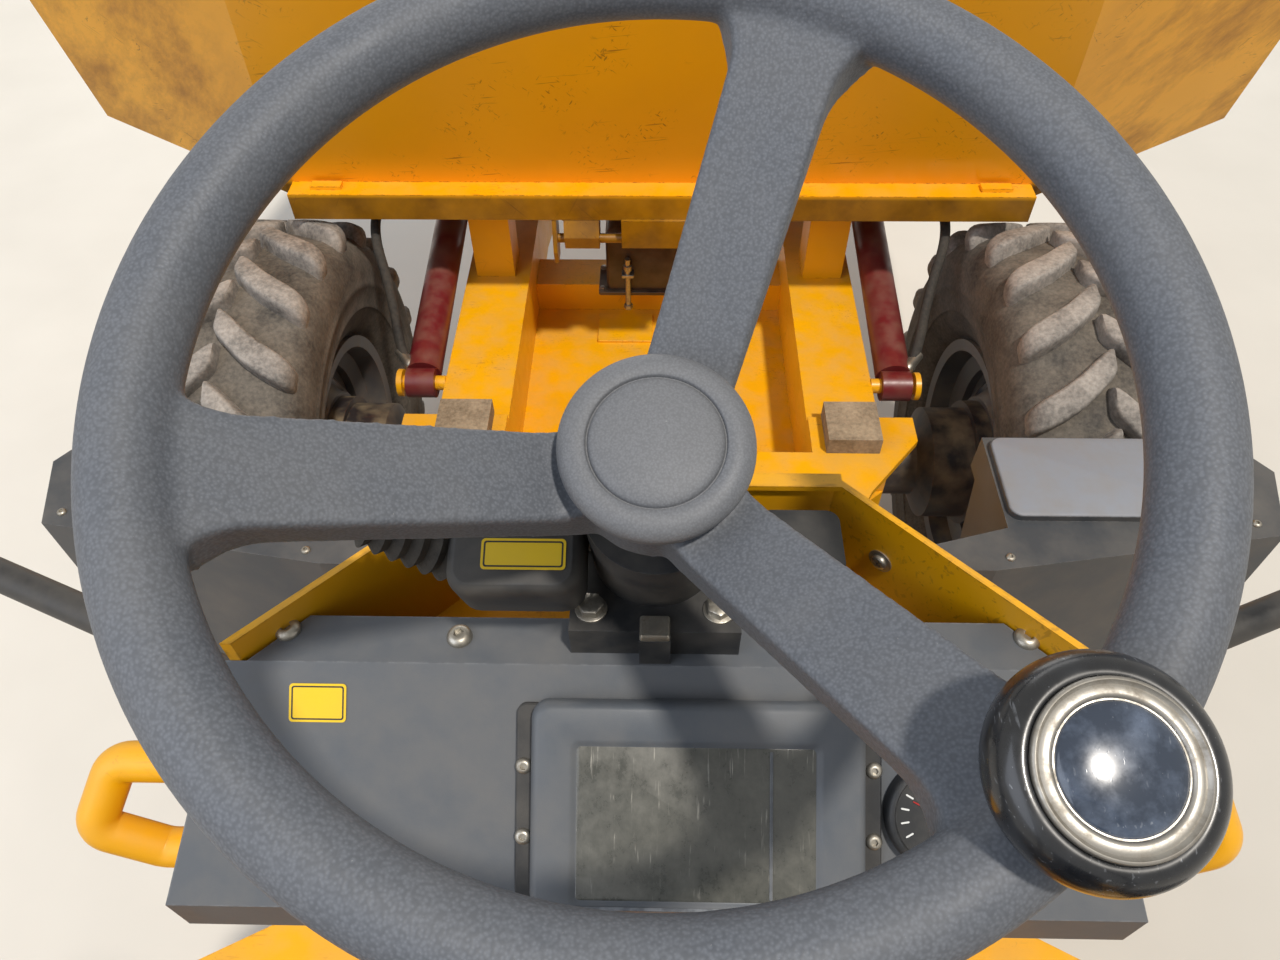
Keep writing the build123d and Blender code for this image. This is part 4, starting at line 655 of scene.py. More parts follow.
class Shell:
    """A mesh under construction in millimetres, closed into a piece that rides on a body."""

    def __init__(self) -> None:
        """Starts an empty mesh."""
        self.mesh = bmesh.new()

    def skin(self, rings: Sequence[Sequence[Vector]], place: Matrix | None = None,
             closed: bool = False) -> None:
        """Lays faces between rings of points.

        Args:
            rings: Rings with the same number of points, or a single point at a pole.
            place: Matrix that carries the rings to their place.
            closed: Whether the last ring joins the first; otherwise both ends are capped.
        """
        place = place or Matrix.Identity(4)
        rows = [[self.mesh.verts.new(place @ point) for point in ring] for ring in rings]
        pairs = list(zip(rows, rows[1:])) + ([(rows[-1], rows[0])] if closed else [])
        for low, high in pairs:
            count = max(len(low), len(high))
            for step in range(count):
                after = (step + 1) % count
                corners = [low[step % len(low)], low[after % len(low)],
                           high[after % len(high)], high[step % len(high)]]
                corners = [v for i, v in enumerate(corners) if v not in corners[:i]]
                self.mesh.faces.new(corners)
        if not closed:
            for row in (rows[0], rows[-1]):
                if len(row) > 2:
                    self.mesh.faces.new(row)

    def turned(self, profile: Outline, place: Matrix | None = None, count: int = 64) -> None:
        """Turns a profile of radius and height about the Z axis."""
        self.skin([[Vector((0, 0, h))] if r < 0.01 else ring_points(r, h, count) for r, h in profile], place)

    def pad(self, width: float, height: float, radius: float, levels: Outline,
            place: Matrix | None = None, steps: int = 6) -> None:
        """Stacks rounded rectangles.

        Args:
            width: Width of the widest level.
            height: Height of the widest level.
            radius: Its corner radius.
            levels: Inset and height along Z of each level.
            place: Matrix that carries it to its place.
            steps: Facets of each corner.
        """
        self.skin([[Vector((x, y, z)) for x, y in rounded_outline(width - 2 * inset, height - 2 * inset,
                                                                 max(radius - inset, 0.5), steps)]
                   for inset, z in levels], place)

    def prism(self, outline: Outline, levels: Outline, place: Matrix | None = None) -> None:
        """Stacks one outline, each level shrunk towards its middle by a share and set at a height."""
        middle = sum((Vector(p) for p in outline), Vector((0, 0))) / len(outline)
        self.skin([[Vector((*(middle + (Vector(p) - middle) * (1 - share)), z)) for p in outline]
                   for share, z in levels], place)

    def hose(self, path: Sequence[Point], radii: float | Sequence[float], count: int = 16) -> None:
        """Sweeps a round section along points that are already close together."""
        points = [Vector(p) for p in path]
        sizes = [radii] * len(points) if isinstance(radii, (int, float)) else list(radii)
        ahead = (points[1] - points[0]).normalized()
        side = ahead.orthogonal().normalized()
        rings = []
        for index, point in enumerate(points):
            ahead = (points[min(index + 1, len(points) - 1)] - points[max(index - 1, 0)]).normalized()
            side = (side - side.project(ahead)).normalized()
            other = ahead.cross(side)
            rings.append([point + sizes[index] * (side * math.cos(t) + other * math.sin(t))
                          for t in (2 * math.pi * step / count for step in range(count))])
        self.skin(rings)

    def piece(self, name: str, finish: Finish, body: str, sharp: float = 38.0,
              stands_for: Sequence[str] = ()) -> bpy.types.Object:
        """Closes the mesh into a finished piece.

        Args:
            name: The piece's name.
            finish: What it is made of.
            body: The body that carries it.
            sharp: Angle in degrees above which an edge stays sharp.
            stands_for: CAD nodes that it takes the place of.

        Returns:
            The new object.
        """
        bmesh.ops.remove_doubles(self.mesh, verts=self.mesh.verts, dist=0.002)
        bmesh.ops.recalc_face_normals(self.mesh, faces=self.mesh.faces)
        self.mesh.transform(Matrix.Scale(MM, 4))
        data = bpy.data.meshes.new(name)
        self.mesh.to_mesh(data)
        self.mesh.free()
        return dress(data, name, finish, body, sharp, stands_for)


def dress(data: bpy.types.Mesh, name: str, finish: Finish, body: str, sharp: float = 38.0,
          stands_for: Sequence[str] = ()) -> bpy.types.Object:
    """Puts a mesh in the scene with its finish, its shading and the body that carries it.

    Args:
        data: The mesh, in metres, with its place in its points.
        name: The piece's name.
        finish: What it is made of.
        body: The body that carries it.
        sharp: Angle in degrees above which an edge stays sharp.
        stands_for: CAD nodes that it takes the place of.

    Returns:
        The new object.
    """
    data.materials.clear()
    data.materials.append(finish.material())
    data.shade_smooth()
    data.set_sharp_from_angle(angle=math.radians(sharp))
    piece = bpy.data.objects.new(name, data)
    bpy.context.scene.collection.objects.link(piece)
    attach(piece, body)
    if stands_for:
        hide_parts(*stands_for)
    return piece


class Repeater:
    """One Geometry Nodes tree that sets a form at every point of a mesh, turned as the point says."""

    def __init__(self) -> None:
        """Builds the tree with its named inputs."""
        self.tree = bpy.data.node_groups.new("Forms at points", "GeometryNodeTree")
        sockets = self.tree.interface
        sockets.new_socket("Geometry", in_out="INPUT", socket_type="NodeSocketGeometry")
        sockets.new_socket("Form", in_out="INPUT", socket_type="NodeSocketObject")
        sockets.new_socket("Finish", in_out="INPUT", socket_type="NodeSocketMaterial")
        sockets.new_socket("Size", in_out="INPUT", socket_type="NodeSocketFloat")
        sockets.new_socket("Geometry", in_out="OUTPUT", socket_type="NodeSocketGeometry")
        given = add_node(self.tree, "NodeGroupInput").outputs
        form = add_node(self.tree, "GeometryNodeObjectInfo", {"Object": given["Form"]})
        turn = add_node(self.tree, "GeometryNodeInputNamedAttribute", {"Name": "turn"},
                        data_type="FLOAT_VECTOR")
        spin = add_node(self.tree, "FunctionNodeEulerToRotation", {0: turn.outputs["Attribute"]})
        many = add_node(self.tree, "GeometryNodeInstanceOnPoints", {
            "Points": given["Geometry"], "Instance": form.outputs["Geometry"], "Rotation": spin.outputs[0],
            "Scale": given["Size"]})
        real = add_node(self.tree, "GeometryNodeRealizeInstances", {0: many.outputs[0]})
        dressed = add_node(self.tree, "GeometryNodeSetMaterial", {"Geometry": real.outputs[0],
                                                                  "Material": given["Finish"]})
        add_node(self.tree, "NodeGroupOutput", {0: dressed.outputs[0]})

    def repeat(self, form: Shell, spots: Sequence[Matrix], name: str, finish: Finish, body: str,
               sharp: float = 38.0, size: float = 1.0) -> bpy.types.Object:
        """Sets a form at each spot and makes the result one plain mesh.

        Args:
            form: The form about its own origin.
            spots: Place and turn of each copy, in millimetres.
            name: The piece's name.
            finish: What it is made of.
            body: The body that carries it.
            sharp: Angle in degrees above which an edge stays sharp.
            size: Factor on the form.

        Returns:
            The finished piece.
        """
        bmesh.ops.recalc_face_normals(form.mesh, faces=form.mesh.faces)
        form.mesh.transform(Matrix.Scale(MM, 4))
        shape = bpy.data.meshes.new("form")
        form.mesh.to_mesh(shape)
        form.mesh.free()
        pattern = bpy.data.objects.new("form", shape)
        cloud = bpy.data.meshes.new("points")
        cloud.from_pydata([tuple(spot.translation * MM) for spot in spots], [], [])
        turns = cloud.attributes.new("turn", "FLOAT_VECTOR", "POINT")
        for row, spot in zip(turns.data, spots):
            row.vector = spot.to_euler()
        carrier = bpy.data.objects.new("points", cloud)
        for helper in (pattern, carrier):
            bpy.context.scene.collection.objects.link(helper)
        modifier = carrier.modifiers.new("repeat", "NODES")
        modifier.node_group = self.tree
        values = {"Form": pattern, "Finish": finish.material(), "Size": size}
        for item in self.tree.interface.items_tree:
            if item.in_out == "INPUT" and item.name in values:
                modifier[item.identifier] = values[item.name]
        bpy.context.view_layer.update()
        made = bpy.data.meshes.new_from_object(carrier.evaluated_get(bpy.context.evaluated_depsgraph_get()))
        carrier.modifiers.remove(modifier)
        for helper in (carrier, pattern):
            bpy.data.objects.remove(helper)
        return dress(made, name, finish, body, sharp)


class Fastener(Enum):
    """Kinds of screw and nut, each drawn about the origin with its head up Z."""

    BUTTON = "button head with a hexagon socket"
    PAN = "pan head with a cross recess"
    BOLT = "hexagon bolt on a washer"
    NUT = "wheel nut on its stud"

    def form(self) -> Shell:
        """Draws the fastener at its real size."""
        shell = Shell()
        if self is Fastener.BUTTON:
            rings = [(7.0, -0.5), (7.0, 0.5), (6.7, 1.7), (5.9, 2.9), (4.6, 3.8), (3.3, 4.2)]
            shell.skin([ring_points(r, h) for r, h in rings]
                       + [ring_points(2.5, h, shape=RingShape.HEX) for h in (4.1, 1.6)])
        elif self is Fastener.PAN:
            rings = [(12.5, -0.4), (12.5, 1.4), (8.0, 1.6), (8.0, 2.6), (7.4, 4.4), (6.0, 5.4), (5.0, 5.6)]
            shell.skin([ring_points(r, h) for r, h in rings]
                       + [ring_points(4.6, h, shape=RingShape.CROSS) for h in (5.5, 3.0)])
        elif self is Fastener.BOLT:
            shell.turned([(12, -0.5), (12, 1.6), (11.4, 2.0), (0, 2.0)], count=24)
            shell.skin([ring_points(r, h, shape=RingShape.HEX) for r, h in [(8.5, 1.8), (8.5, 8.2)]]
                       + [ring_points(7.9, 9.0), ring_points(3.0, 9.1)])
        else:
            shell.turned([(17, -0.5), (16.5, 3), (14, 4.5), (0, 4.5)], count=24)
            shell.skin([ring_points(12.0, h, shape=RingShape.HEX) for h in (4, 18)]
                       + [ring_points(r, h) for r, h in [(11.2, 20), (8.2, 20.2), (8.0, 28), (6.8, 29.5)]])
        return shell


def spot(place: Point, out: Point, roll: float = 0.0) -> Matrix:
    """Matrix of one repeated form: its place, the way it looks out and its own turn in degrees."""
    side = Vector(out).orthogonal()
    return plane_matrix(place, tuple(side), out) @ Matrix.Rotation(math.radians(roll), 4, "Z")


# Sub-assemblies

@dataclass
class HandWheel:
    """Steering wheel with its cap and the spinner knob, in the plane of the rim."""

    knob_radius: float = 165.0
    knob_turn: float = -46.0
    cap_foot: float = -62.0
    body: str = "hand_wheel"

    def build(self) -> None:
        """Builds the moulded wheel, the cap and the knob."""
        self.moulding()
        self.cap()
        self.knob()

    def moulding(self) -> None:
        """Rim, spokes and hub as one moulding, with the soft hollows where they meet."""
        work = bmesh.new()
        work.from_mesh(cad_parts["steering_wheel"].data)
        bmesh.ops.remove_doubles(work, verts=work.verts, dist=1e-6)
        source = bpy.data.meshes.new("moulding")
        work.to_mesh(source)
        work.free()
        blank = bpy.data.objects.new("moulding", source)
        bpy.context.scene.collection.objects.link(blank)
        remesh = blank.modifiers.new("even", "REMESH")
        remesh.mode = "VOXEL"
        remesh.voxel_size = 0.00165
        smooth = blank.modifiers.new("soft", "SMOOTH")
        smooth.factor = 0.5
        smooth.iterations = 16
        bpy.context.view_layer.update()
        made = bpy.data.meshes.new_from_object(blank.evaluated_get(bpy.context.evaluated_depsgraph_get()))
        bpy.data.objects.remove(blank)
        dress(made, "wheel_moulding", GRIP, self.body, 180.0, ["steering_wheel"])

    def cap(self) -> None:
        """Horn cap with a rolled rim, a groove and a low dome."""
        base = self.cap_foot
        rim = (37.2 + 1.2 * math.sin(0.2), base + 5.2 - 5 * math.cos(0.2))
        edge = [(30.6 + 7.8 * math.cos(t), base + 6.2 + 6.6 * math.sin(t)) for t in
                (math.pi / 2 * step / 8 for step in range(9))]
        dome = [(26.0 * math.cos(t), base + 11.6 + 4.2 * math.sin(t)) for t in
                (math.pi / 2 * step / 10 for step in range(11))]
        groove = [(27.6, base + 12.7), (27.1, base + 12.2), (26.8, base + 10.9), (26.3, base + 10.9)]
        shell = Shell()
        shell.turned([(36, base + 0.2), rim] + edge + groove + dome, WHEEL_PLACE, 96)
        shell.piece("horn_cap", CAP, self.body, 50.0, stands_for=["hub_cap"])

    def knob(self) -> None:
        """Spinner knob: black body, turned ring and polished dome."""
        turn = math.radians(self.knob_turn)
        place = WHEEL_PLACE @ Matrix.Translation((self.knob_radius * math.cos(turn),
                                                  self.knob_radius * math.sin(turn), 0))
        body = Shell()
        bulge = [(23.2 + 7.3 * math.cos(t), 28.2 + 10.4 * math.sin(t)) for t in
                 (math.radians(-62 + 152 * step / 16) for step in range(17))]
        foot = [(0, 15.2), (14, 15.2), (14, 18.6), (22, 18.6)]
        body.turned(foot + bulge + [(22.6, 38.4), (22.4, 37.2), (0, 37.2)], place, 96)
        body.piece("knob_body", KNOB, self.body, 50.0, stands_for=["spinner_knob"])
        ring = Shell()
        ring.turned([(16.6, 37.3), (22.2, 37.3), (22.3, 39.6), (21.9, 40.2), (21.3, 40.3), (20.8, 39.7),
                     (20.3, 39.4), (19.8, 39.6), (18.2, 40.0), (17.2, 39.7), (16.8, 39.0)], place, 96)
        ring.piece("knob_ring", RING, self.body, 50.0, stands_for=["spinner_ring"])
        dome = Shell()
        dome.turned([(16.5, 37.3), (16.5, 38.6)] + [(16.4 * math.cos(t), 38.8 + 3.4 * math.sin(t)) for t in
                    (math.pi / 2 * step / 12 for step in range(13))], place, 96)
        dome.piece("knob_dome", DOME, self.body, 50.0, stands_for=["spinner_dome"])


@dataclass
class Dash:
    """Display, round gauge, blank stickers and screws of the dash."""

    repeater: Repeater
    frame_size: tuple[float, float, float] = (170.0, 106.0, 9.0)
    frame_middle: tuple[float, float] = (22.5, 58.0)
    glass_size: tuple[float, float] = (121.0, 77.0)
    glass_middle: tuple[float, float] = (21.5, 50.0)
    body: str = "rear_chassis"

    def build(self) -> None:
        """Builds the parts of the dash."""
        self.display()
        self.glass()
        self.gauge()
        self.sticker("dash_sticker", DASH_PLACE @ Matrix.Translation((-176, 106, 0.2)), 30, 20)
        self.sticker("shuttle_sticker", WHEEL_PLACE @ Matrix.Translation((-62, -20, -147.6)), 40, 15)
        self.screws()

    def display(self) -> None:
        """Moulded display housing on its base plate."""
        at = DASH_PLACE @ Matrix.Translation((*self.frame_middle, 0))
        hole = DASH_PLACE @ Matrix.Translation((*self.glass_middle, 0))
        width, height, radius = self.frame_size
        outer = [(0, 4.3), (0, 9.5), (0.6, 12), (2.2, 14.2), (4.2, 15.0)]
        inner = [(-4.0, 15.0), (-2.4, 14.4), (-0.8, 13.2), (0, 12.7)]
        wide, high = self.glass_size
        rings = [[at @ Vector((x, y, z)) for x, y in rounded_outline(width - 2 * d, height - 2 * d, radius - d / 2)]
                 for d, z in outer]
        rings += [[hole @ Vector((x, y, z)) for x, y in rounded_outline(wide - 2 * d, high - 2 * d, 3 - d / 2)]
                  for d, z in inner]
        shell = Shell()
        shell.skin(rings)
        shell.piece("display_frame", BEZEL, self.body, 50.0, stands_for=["display_housing"])
        plate = Shell()
        plate.pad(188, 100, 5, [(0, 0.3), (0, 3.4), (0.8, 4.2)], DASH_PLACE @ Matrix.Translation((23, 58, 0)))
        plate.piece("display_base", BLACK_PLASTIC, self.body)

    def glass(self) -> None:
        """Screen with the divider line of its side strip."""
        place = DASH_PLACE @ Matrix.Translation((*self.glass_middle, 0))
        shell = Shell()
        shell.pad(*self.glass_size, 2.0, [(0, 11.2), (0, 12.8), (0.5, 13.0)], place)
        shell.piece("display_glass", SCREEN, self.body, stands_for=["display_screen"])
        line = Shell()
        line.pad(1.6, self.glass_size[1] - 3, 0.6, [(0, 12.8), (0, 13.4), (0.3, 13.5)],
                 place @ Matrix.Translation((60.5 - 22.5, 0, 0)))
        line.piece("display_divider", BEZEL, self.body)

    def gauge(self) -> None:
        """Round gauge: ring, dial with marks, needle and raised rim."""
        place = DASH_PLACE @ Matrix.Translation((147.5, 54, 0))
        ring = Shell()
        ring.turned([(29, 0.3), (29, 4), (28.4, 7.4), (27, 8.9), (25.4, 9.2), (24.6, 8.6), (24.0, 6.4), (0, 6.2)],
                    place)
        ring.piece("gauge_ring", BLACK_PLASTIC, self.body, 45.0, stands_for=["round_gauge"])
        tick = Shell()
        tick.pad(0.9, 4.6, 0.3, [(0, -0.1), (0, 0.35)], steps=1)
        mark = Matrix.Translation((0, 19.5, 6.3))
        spots = [place @ Matrix.Rotation(math.radians(-120 + 20 * n), 4, "Z") @ mark for n in range(13)]
        self.repeater.repeat(tick, spots, "gauge_marks", DIAL_WHITE, self.body)
        needle = Shell()
        needle.prism([(-1.2, -5), (1.2, -5), (0.3, 17), (-0.3, 17)], [(0, 6.9), (0.1, 7.5)],
                     place @ Matrix.Rotation(math.radians(64), 4, "Z"))
        needle.turned([(3.2, 6.2), (3.2, 8.0), (2.2, 8.6), (0, 8.8)], place, 24)
        needle.piece("gauge_needle", RED_PAINT, self.body)

    def sticker(self, name: str, place: Matrix, width: float, height: float) -> None:
        """A blank yellow sticker with a dark printed border."""
        back = Shell()
        back.pad(width, height, 2.0, [(0, 0.0), (0, 0.35)], place)
        back.piece(name, STICKER, self.body)
        rim = Shell()
        rings = [[Vector((x, y, z)) for x, y in rounded_outline(width - 2 * d, height - 2 * d, r)]
                 for d, r, z in [(1.2, 1.4, 0.3), (1.2, 1.4, 0.42), (2.0, 0.9, 0.42), (2.0, 0.9, 0.3)]]
        rim.skin(rings, place, closed=True)
        rim.piece(f"{name}_border", INK, self.body)

    def screws(self) -> None:
        """Button heads on the flange, small screws of the display and the cross-head screw of the wall."""
        flange = [spot((197, 361.3, 1498.1), (0, 0, 1), 10), spot((104, 364.3, 1498.1), (0, 0, 1), 40),
                  spot((-197, 361.3, 1498.1), (0, 0, 1), 25), spot((-104, 364.3, 1498.1), (0, 0, 1), 5)]
        self.repeater.repeat(Fastener.BUTTON.form(), flange, "flange_screws", BOLT, self.body)
        small = [DASH_PLACE @ Matrix.Translation((x, y, 4.0)) for x, y in
                 [(-67, 76), (-67, 40), (113, 76), (113, 40)]]
        self.repeater.repeat(Fastener.BUTTON.form(), small, "display_screws", BOLT, self.body, size=0.62)
        wall = [spot((-133.0, 297.2, 1477.5), (115, 117, 0), 20)]
        self.repeater.repeat(Fastener.PAN.form(), wall, "wall_screw", BOLT, self.body, size=0.62)


@dataclass
class Column:
    """Clamp, shuttle box with its boot and lever, and the collar on the column."""

    repeater: Repeater
    body: str = "rear_chassis"

    def build(self) -> None:
        """Builds the pieces on the column."""
        box = Shell()
        place = WHEEL_PLACE @ Matrix.Translation((-67, -8, 0))
        box.pad(65, 62, 12, [(4, -196), (1, -194), (0, -190), (0, -156), (1, -151.5), (3.4, -148.8), (6, -148)],
                place)
        box.pad(57, 54, 9, [(0, -148.2), (0.4, -147.9), (1, -147.8)], place)
        box.piece("shuttle_box", BLACK_PLASTIC, self.body, 50.0, stands_for=["shuttle_lever"])
        boot = Shell()
        start, end = WHEEL_PLACE @ Vector((-96, -9, -172)), WHEEL_PLACE @ Vector((-138, -8, -143))
        count = 24
        path = [tuple(start.lerp(end, step / count)) for step in range(count + 1)]
        folds = [20 - 11 * step / count + 1.8 * math.cos(step * math.pi / 2) for step in range(count + 1)]
        boot.hose(path, folds, 24)
        boot.piece("lever_boot", HOSE, self.body, 60.0)
        lever = Shell()
        tip = WHEEL_PLACE @ Vector((-190, -6, -104))
        lever.hose([tuple(end.lerp(tip, t)) for t in (-0.2, 0, 0.5, 1.0)], 5)
        lever.piece("lever_rod", BLACK_STEEL, self.body)
        handle = Shell()
        ahead = (tip - end).normalized()
        sizes = [(-16, 6), (-14, 9), (-8, 12.4), (0, 14.6), (8, 14.8), (13, 13), (17, 9), (19, 4), (19.4, 0.5)]
        handle.hose([tuple(tip + ahead * d) for d, _ in sizes], [r for _, r in sizes], 24)
        handle.piece("lever_handle", BLACK_PLASTIC, self.body, 60.0)
        collar = Shell()
        collar.turned([(20, -126), (20, -120), (25.6, -116), (27.4, -112), (27.4, -108.6), (24, -107)],
                      WHEEL_PLACE, 48)
        collar.piece("column_collar", BLACK_PLASTIC, self.body, 45.0)
        tab = Shell()
        tab.pad(15.4, 13.4, 1.5, [(0, 1519.6), (0, 1523), (1, 1524.5)], Matrix.Translation((0, 372, 0)))
        tab.piece("clamp_tab", BOLT, self.body)
        heads = [spot((sx * 33, y, 1520.3), (0, 0, 1), 12 * sx) for sx in (-1, 1) for y in (316, 360)]
        self.repeater.repeat(Fastener.BOLT.form(), heads, "clamp_bolts", BOLT, self.body, size=0.7)


@dataclass
class Wheels:
    """Tyres with rounded chevron lugs, and the nuts on their rims."""

    repeater: Repeater
    rolling_radius: float = 475.0
    track_half: float = 720.0
    lugs: int = 44
    nuts: int = 10

    def build(self) -> None:
        """Builds each wheel's tyre, lugs and nuts."""
        for corner in Corner:
            side, axle_y = corner.value
            middle = Vector((side.value * self.track_half, axle_y * 1000, self.rolling_radius))
            body = f"wheel_{corner.label}"
            self.carcass(corner, middle, body)
            self.tread(corner, middle, body)
            spots = []
            for count in range(self.nuts):
                turn = 2 * math.pi * count / self.nuts
                place = middle + Vector((side.value * -60.4, 96 * math.sin(turn), 96 * math.cos(turn)))
                spots.append(spot(tuple(place), (side.value, 0, 0), 17.0 * count))
            self.repeater.repeat(Fastener.NUT.form(), spots, f"wheel_nuts_{corner.label}", BOLT, body)

    def carcass(self, corner: Corner, middle: Vector, body: str) -> None:
        """Tyre casing with bead, rim guard, moulded sidewall lines and crown."""
        # X and radius, from the bead over the rim guard and the sidewall to the crown
        half = [(97.2, 240), (97.5, 253), (103.3, 259), (110.5, 262.5), (115, 268), (123, 283), (131.2, 301),
                (133.5, 306), (135.3, 306.5), (136.2, 311), (135.5, 313), (138.8, 330), (141.6, 346),
                (142.8, 348), (142.9, 356), (141.9, 358), (142.1, 374), (140.6, 394), (136, 411), (128, 425),
                (116, 436), (97, 443.5), (63, 447.4), (27, 448.6)]
        profile = [(-x, r) for x, r in half] + half[::-1] + [(92, 236.4), (-92, 236.4)]
        count = 128
        rings = [[middle + Vector((x, r * math.sin(t), r * math.cos(t))) for t in
                  (2 * math.pi * step / count for step in range(count))] for x, r in profile]
        shell = Shell()
        shell.skin(rings, closed=True)
        shell.piece(f"casing_{corner.label}", TYRE, body, 50.0, stands_for=[f"tyre_{corner.label}"])

    def tread(self, corner: Corner, middle: Vector, body: str) -> None:
        """Chevron lugs that run from the middle over the shoulder, set round the casing by the repeater."""
        # X and radius of the foot, X and radius of the top, place along the tread, half width
        stations = [(-6, 444, -5, 464, 33, 15), (-4, 443, -3, 472.4, 35, 21), (2, 442, 2, 474.4, 40, 24.5),
                    (12, 441, 12, 474.9, 49, 26), (30, 440, 30, 474.9, 66, 27), (52, 439, 52, 474.8, 86, 27),
                    (76, 438, 77, 474.4, 103, 26.5), (96, 434, 98, 472.8, 115, 26),
                    (108, 429, 112, 469.6, 122, 25), (116, 424, 122, 464, 127, 23.5),
                    (121, 419, 128.5, 456, 130, 21), (125, 413, 132, 446, 132, 17),
                    (126, 408, 132.5, 438, 132.5, 12)]
        section = [(4, 0.0), (1.2, 0.45), (-0.6, 0.78), (-3.0, 0.93), (-7.5, 1.0)]
        radius = 450.0
        for hand, start in ((1, 0), (-1, 1)):
            rings = []
            for foot_x, foot_r, top_x, top_r, along, half in stations:
                cut = [(-(half + d), k) for d, k in section] + [(half + d, k) for d, k in section[::-1]]
                rings.append([Vector((hand * (foot_x + (top_x - foot_x) * k),
                                      (foot_r + (top_r - foot_r) * k) * math.sin((along + s) / radius),
                                      (foot_r + (top_r - foot_r) * k) * math.cos((along + s) / radius)))
                              for s, k in cut])
            shell = Shell()
            shell.skin(rings)
            step = 2 * math.pi / self.lugs
            spots = [Matrix.Translation(middle) @ Matrix.Rotation((2 * count + start) * step, 4, "X")
                     for count in range(self.lugs // 2)]
            half_name = "outer" if hand > 0 else "inner"
            self.repeater.repeat(shell, spots, f"lugs_{half_name}_{corner.label}", LUG_RUBBER, body, 48.0)


@dataclass
class FrontEnd:
    """Screws and plate on the front mudguards, carrier bolts, the skip latch and the ram hoses of the front frame.
    """

    repeater: Repeater
    body: str = "front_chassis"

    def build(self) -> None:
        """Builds the fasteners of the front frame."""
        guard = [(794.8, -140, 0), (452, -82, 30), (-452, -82, 10), (-785, -140, 50), (-640, -112, 20),
                 (640, -112, 5)]
        heads = [spot((x, y, 950.2), (0, 0, 1), roll) for x, y, roll in guard]
        self.repeater.repeat(Fastener.BUTTON.form(), heads, "mudguard_screws", BOLT, self.body, size=0.9)
        plate = Shell()
        plate.pad(308, 138, 16, [(0, 959), (0.4, 960), (1.6, 960.8)], Matrix.Translation((-620, -212, 0)))
        plate.piece("guard_plate", PALE_PLATE, self.body)
        feet = [spot((s * x, -124, 722.2), (0, 0, 1), 9 * s) for s in (1, -1) for x in (149, 177)]
        self.repeater.repeat(Fastener.BOLT.form(), feet, "carrier_bolts", BOLT, self.body, size=0.8)
        self.latch()
        for side in Side:
            self.hose(side)

    def latch(self) -> None:
        """Latch housing of the skip on the cross member, with its pull rod, and the patch plate behind it."""
        seat, pull = Matrix.Translation((36, -1044, 0)), Matrix.Translation((65, -994, 0))
        housing = Shell()
        housing.pad(150, 78, 10, [(4, 631), (0, 634), (0, 772), (5, 784), (16, 790)], seat)
        housing.pad(186, 96, 6, [(0, 631), (0, 638), (1, 639)], seat)
        housing.piece("latch_housing", LATCH_PAINT, self.body, 40.0)
        rod = Shell()
        rod.turned([(6, 604), (6, 700), (9, 701), (9, 712), (6, 713), (6, 728)], pull, 24)
        rod.turned([(9, 598), (10, 600), (10, 607), (9, 609)], pull, 6)
        rod.pad(26, 24, 3, [(0, 684), (0, 690), (0.6, 690.6)], Matrix.Translation((65, -998, 0)))
        rod.piece("latch_rod", BOLT, self.body)
        patch = Shell()
        patch.pad(120, 92, 4, [(0, 551), (0, 556), (1, 557)], Matrix.Translation((72, -978, 0)))
        patch.piece("patch_plate", PAINT, self.body)
        heads = [spot((36 + x, -1044 + y, 639), (0, 0, 1), x) for x in (-85, 85) for y in (-36, 36)]
        self.repeater.repeat(Fastener.BOLT.form(), heads, "latch_bolts", BOLT, self.body, size=0.6)

    def hose(self, side: Side) -> None:
        """Pressure hose that arches from a ram's foot to its head, with a crimped fitting at each end."""
        s = side.value
        route = [(s * 478, -700, 708), (s * 492, -716, 716), (s * 506, -790, 800), (s * 552, -900, 872),
                 (s * 548, -1040, 862), (s * 506, -1150, 812), (s * 484, -1196, 790)]
        curve = bpy.data.curves.new("ram_hose", "CURVE")
        curve.dimensions = "3D"
        curve.bevel_depth = 9.5 * MM
        curve.bevel_resolution = 4
        curve.resolution_u = 16
        curve.use_fill_caps = True
        spline = curve.splines.new("NURBS")
        spline.points.add(len(route) - 1)
        for point, place in zip(spline.points, route):
            point.co = (*(Vector(place) * MM), 1.0)
        spline.order_u = 3
        spline.use_endpoint_u = True
        curve.materials.append(HOSE.material())
        piece = bpy.data.objects.new(f"ram_hose_{side.name.lower()}", curve)
        bpy.context.scene.collection.objects.link(piece)
        body = f"tip_barrel_{side.name[0].lower()}"
        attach(piece, body)
        ends = Shell()
        for place, after in (route[:2], route[:-3:-1]):
            at = plane_matrix(place, (0, 0, 1), tuple(Vector(after) - Vector(place)))
            ends.turned([(8, -16), (11.5, -15), (12.5, -12), (12.5, -2), (11, 0), (11, 26), (10, 28)], at, 20)
        fitting = ends.piece(f"hose_ends_{side.name.lower()}", BOLT, body)


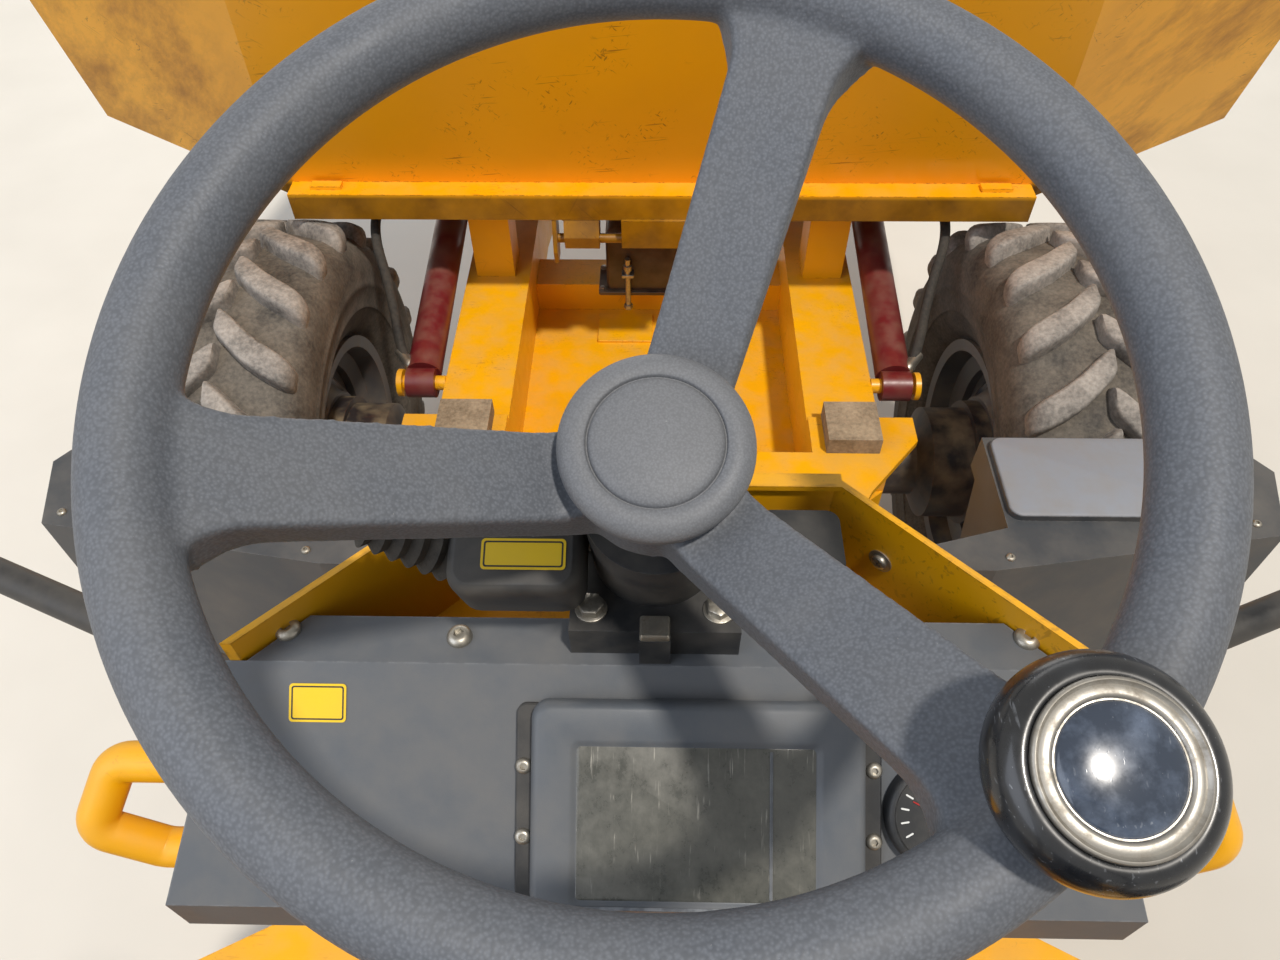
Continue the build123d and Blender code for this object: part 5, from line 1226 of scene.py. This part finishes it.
@dataclass
class Seat:
    """Padded vinyl seat: cushion and backrest."""

    body: str = "rear_chassis"

    def build(self) -> None:
        """Builds the two pads."""
        cushion = Shell()
        cushion.pad(452, 412, 60, [(26, 1284), (6, 1292), (0, 1308), (0, 1336), (8, 1356), (26, 1366),
                                   (60, 1368)], Matrix.Translation((0, 977, 0)), 8)
        self.pad(cushion, "seat_pad", "seat_cushion", 0.012, (0, 0, 0.004))
        back = Shell()
        lean = plane_matrix((0, 1224, 1420), (1, 0, 0), (0, -0.990, 0.138))
        back.pad(432, 480, 70, [(22, -22), (5, -14), (0, 0), (0, 22), (8, 42), (26, 54), (60, 58)],
                 lean @ Matrix.Translation((0, 140, 0)), 8)
        self.pad(back, "back_pad", "seat_back", 0.010, (0, 0, 0))

    def pad(self, shell: Shell, name: str, node: str, cap: float, shift: Point) -> None:
        """Swells a shape as cloth under pressure and keeps each point near its start.

        Args:
            shell: The slightly smaller start shape.
            name: The piece's name.
            node: CAD node that it takes the place of.
            cap: Farthest that a point may move, in metres.
            shift: Push of the whole pad, in metres.
        """
        bmesh.ops.remove_doubles(shell.mesh, verts=shell.mesh.verts, dist=0.002)
        bmesh.ops.recalc_face_normals(shell.mesh, faces=shell.mesh.faces)
        shell.mesh.transform(Matrix.Scale(MM, 4))
        data = bpy.data.meshes.new(name)
        shell.mesh.to_mesh(data)
        shell.mesh.free()
        blank = bpy.data.objects.new(name, data)
        bpy.context.scene.collection.objects.link(blank)
        remesh = blank.modifiers.new("even", "REMESH")
        remesh.mode = "VOXEL"
        remesh.voxel_size = 0.0075
        bpy.context.view_layer.update()
        start = bpy.data.meshes.new_from_object(blank.evaluated_get(bpy.context.evaluated_depsgraph_get()))
        bpy.data.objects.remove(blank)
        cloth_piece = bpy.data.objects.new(name, start)
        bpy.context.scene.collection.objects.link(cloth_piece)
        rest = [v.co.copy() for v in start.vertices]
        cloth = cloth_piece.modifiers.new("swell", "CLOTH")
        cloth.settings.use_pressure = True
        cloth.settings.uniform_pressure_force = 4.0
        cloth.settings.effector_weights.gravity = 0.0
        cloth.point_cache.frame_start, cloth.point_cache.frame_end = 1, 20
        for number in range(1, 21):
            bpy.context.scene.frame_set(number)
        pressed = cloth_piece.evaluated_get(bpy.context.evaluated_depsgraph_get())
        swollen = bpy.data.meshes.new_from_object(pressed)
        cloth_piece.modifiers.remove(cloth)
        bpy.context.scene.frame_set(1)
        for vertex, origin in zip(swollen.vertices, rest):
            move = vertex.co - origin
            vertex.co = origin + (move * min(1.0, cap / move.length) if move.length > 1e-9 else move)
        start = swollen
        for vertex in start.vertices:
            vertex.co += Vector(shift)
        bpy.data.objects.remove(cloth_piece)
        piece = dress(start, name, VINYL, self.body, 180.0, [node])


def main() -> None:
    """Builds the scene in order."""
    logging.basicConfig(level=logging.INFO, format="%(name)s: %(message)s")
    repeater = Repeater()
    for piece in (CadFinishes(), Studio(), HandWheel(), Dash(repeater), Column(repeater), Wheels(repeater),
                  FrontEnd(repeater), Seat()):
        LOG.info("building %s", type(piece).__name__)
        piece.build()


if __name__ == "__main__":
    main()
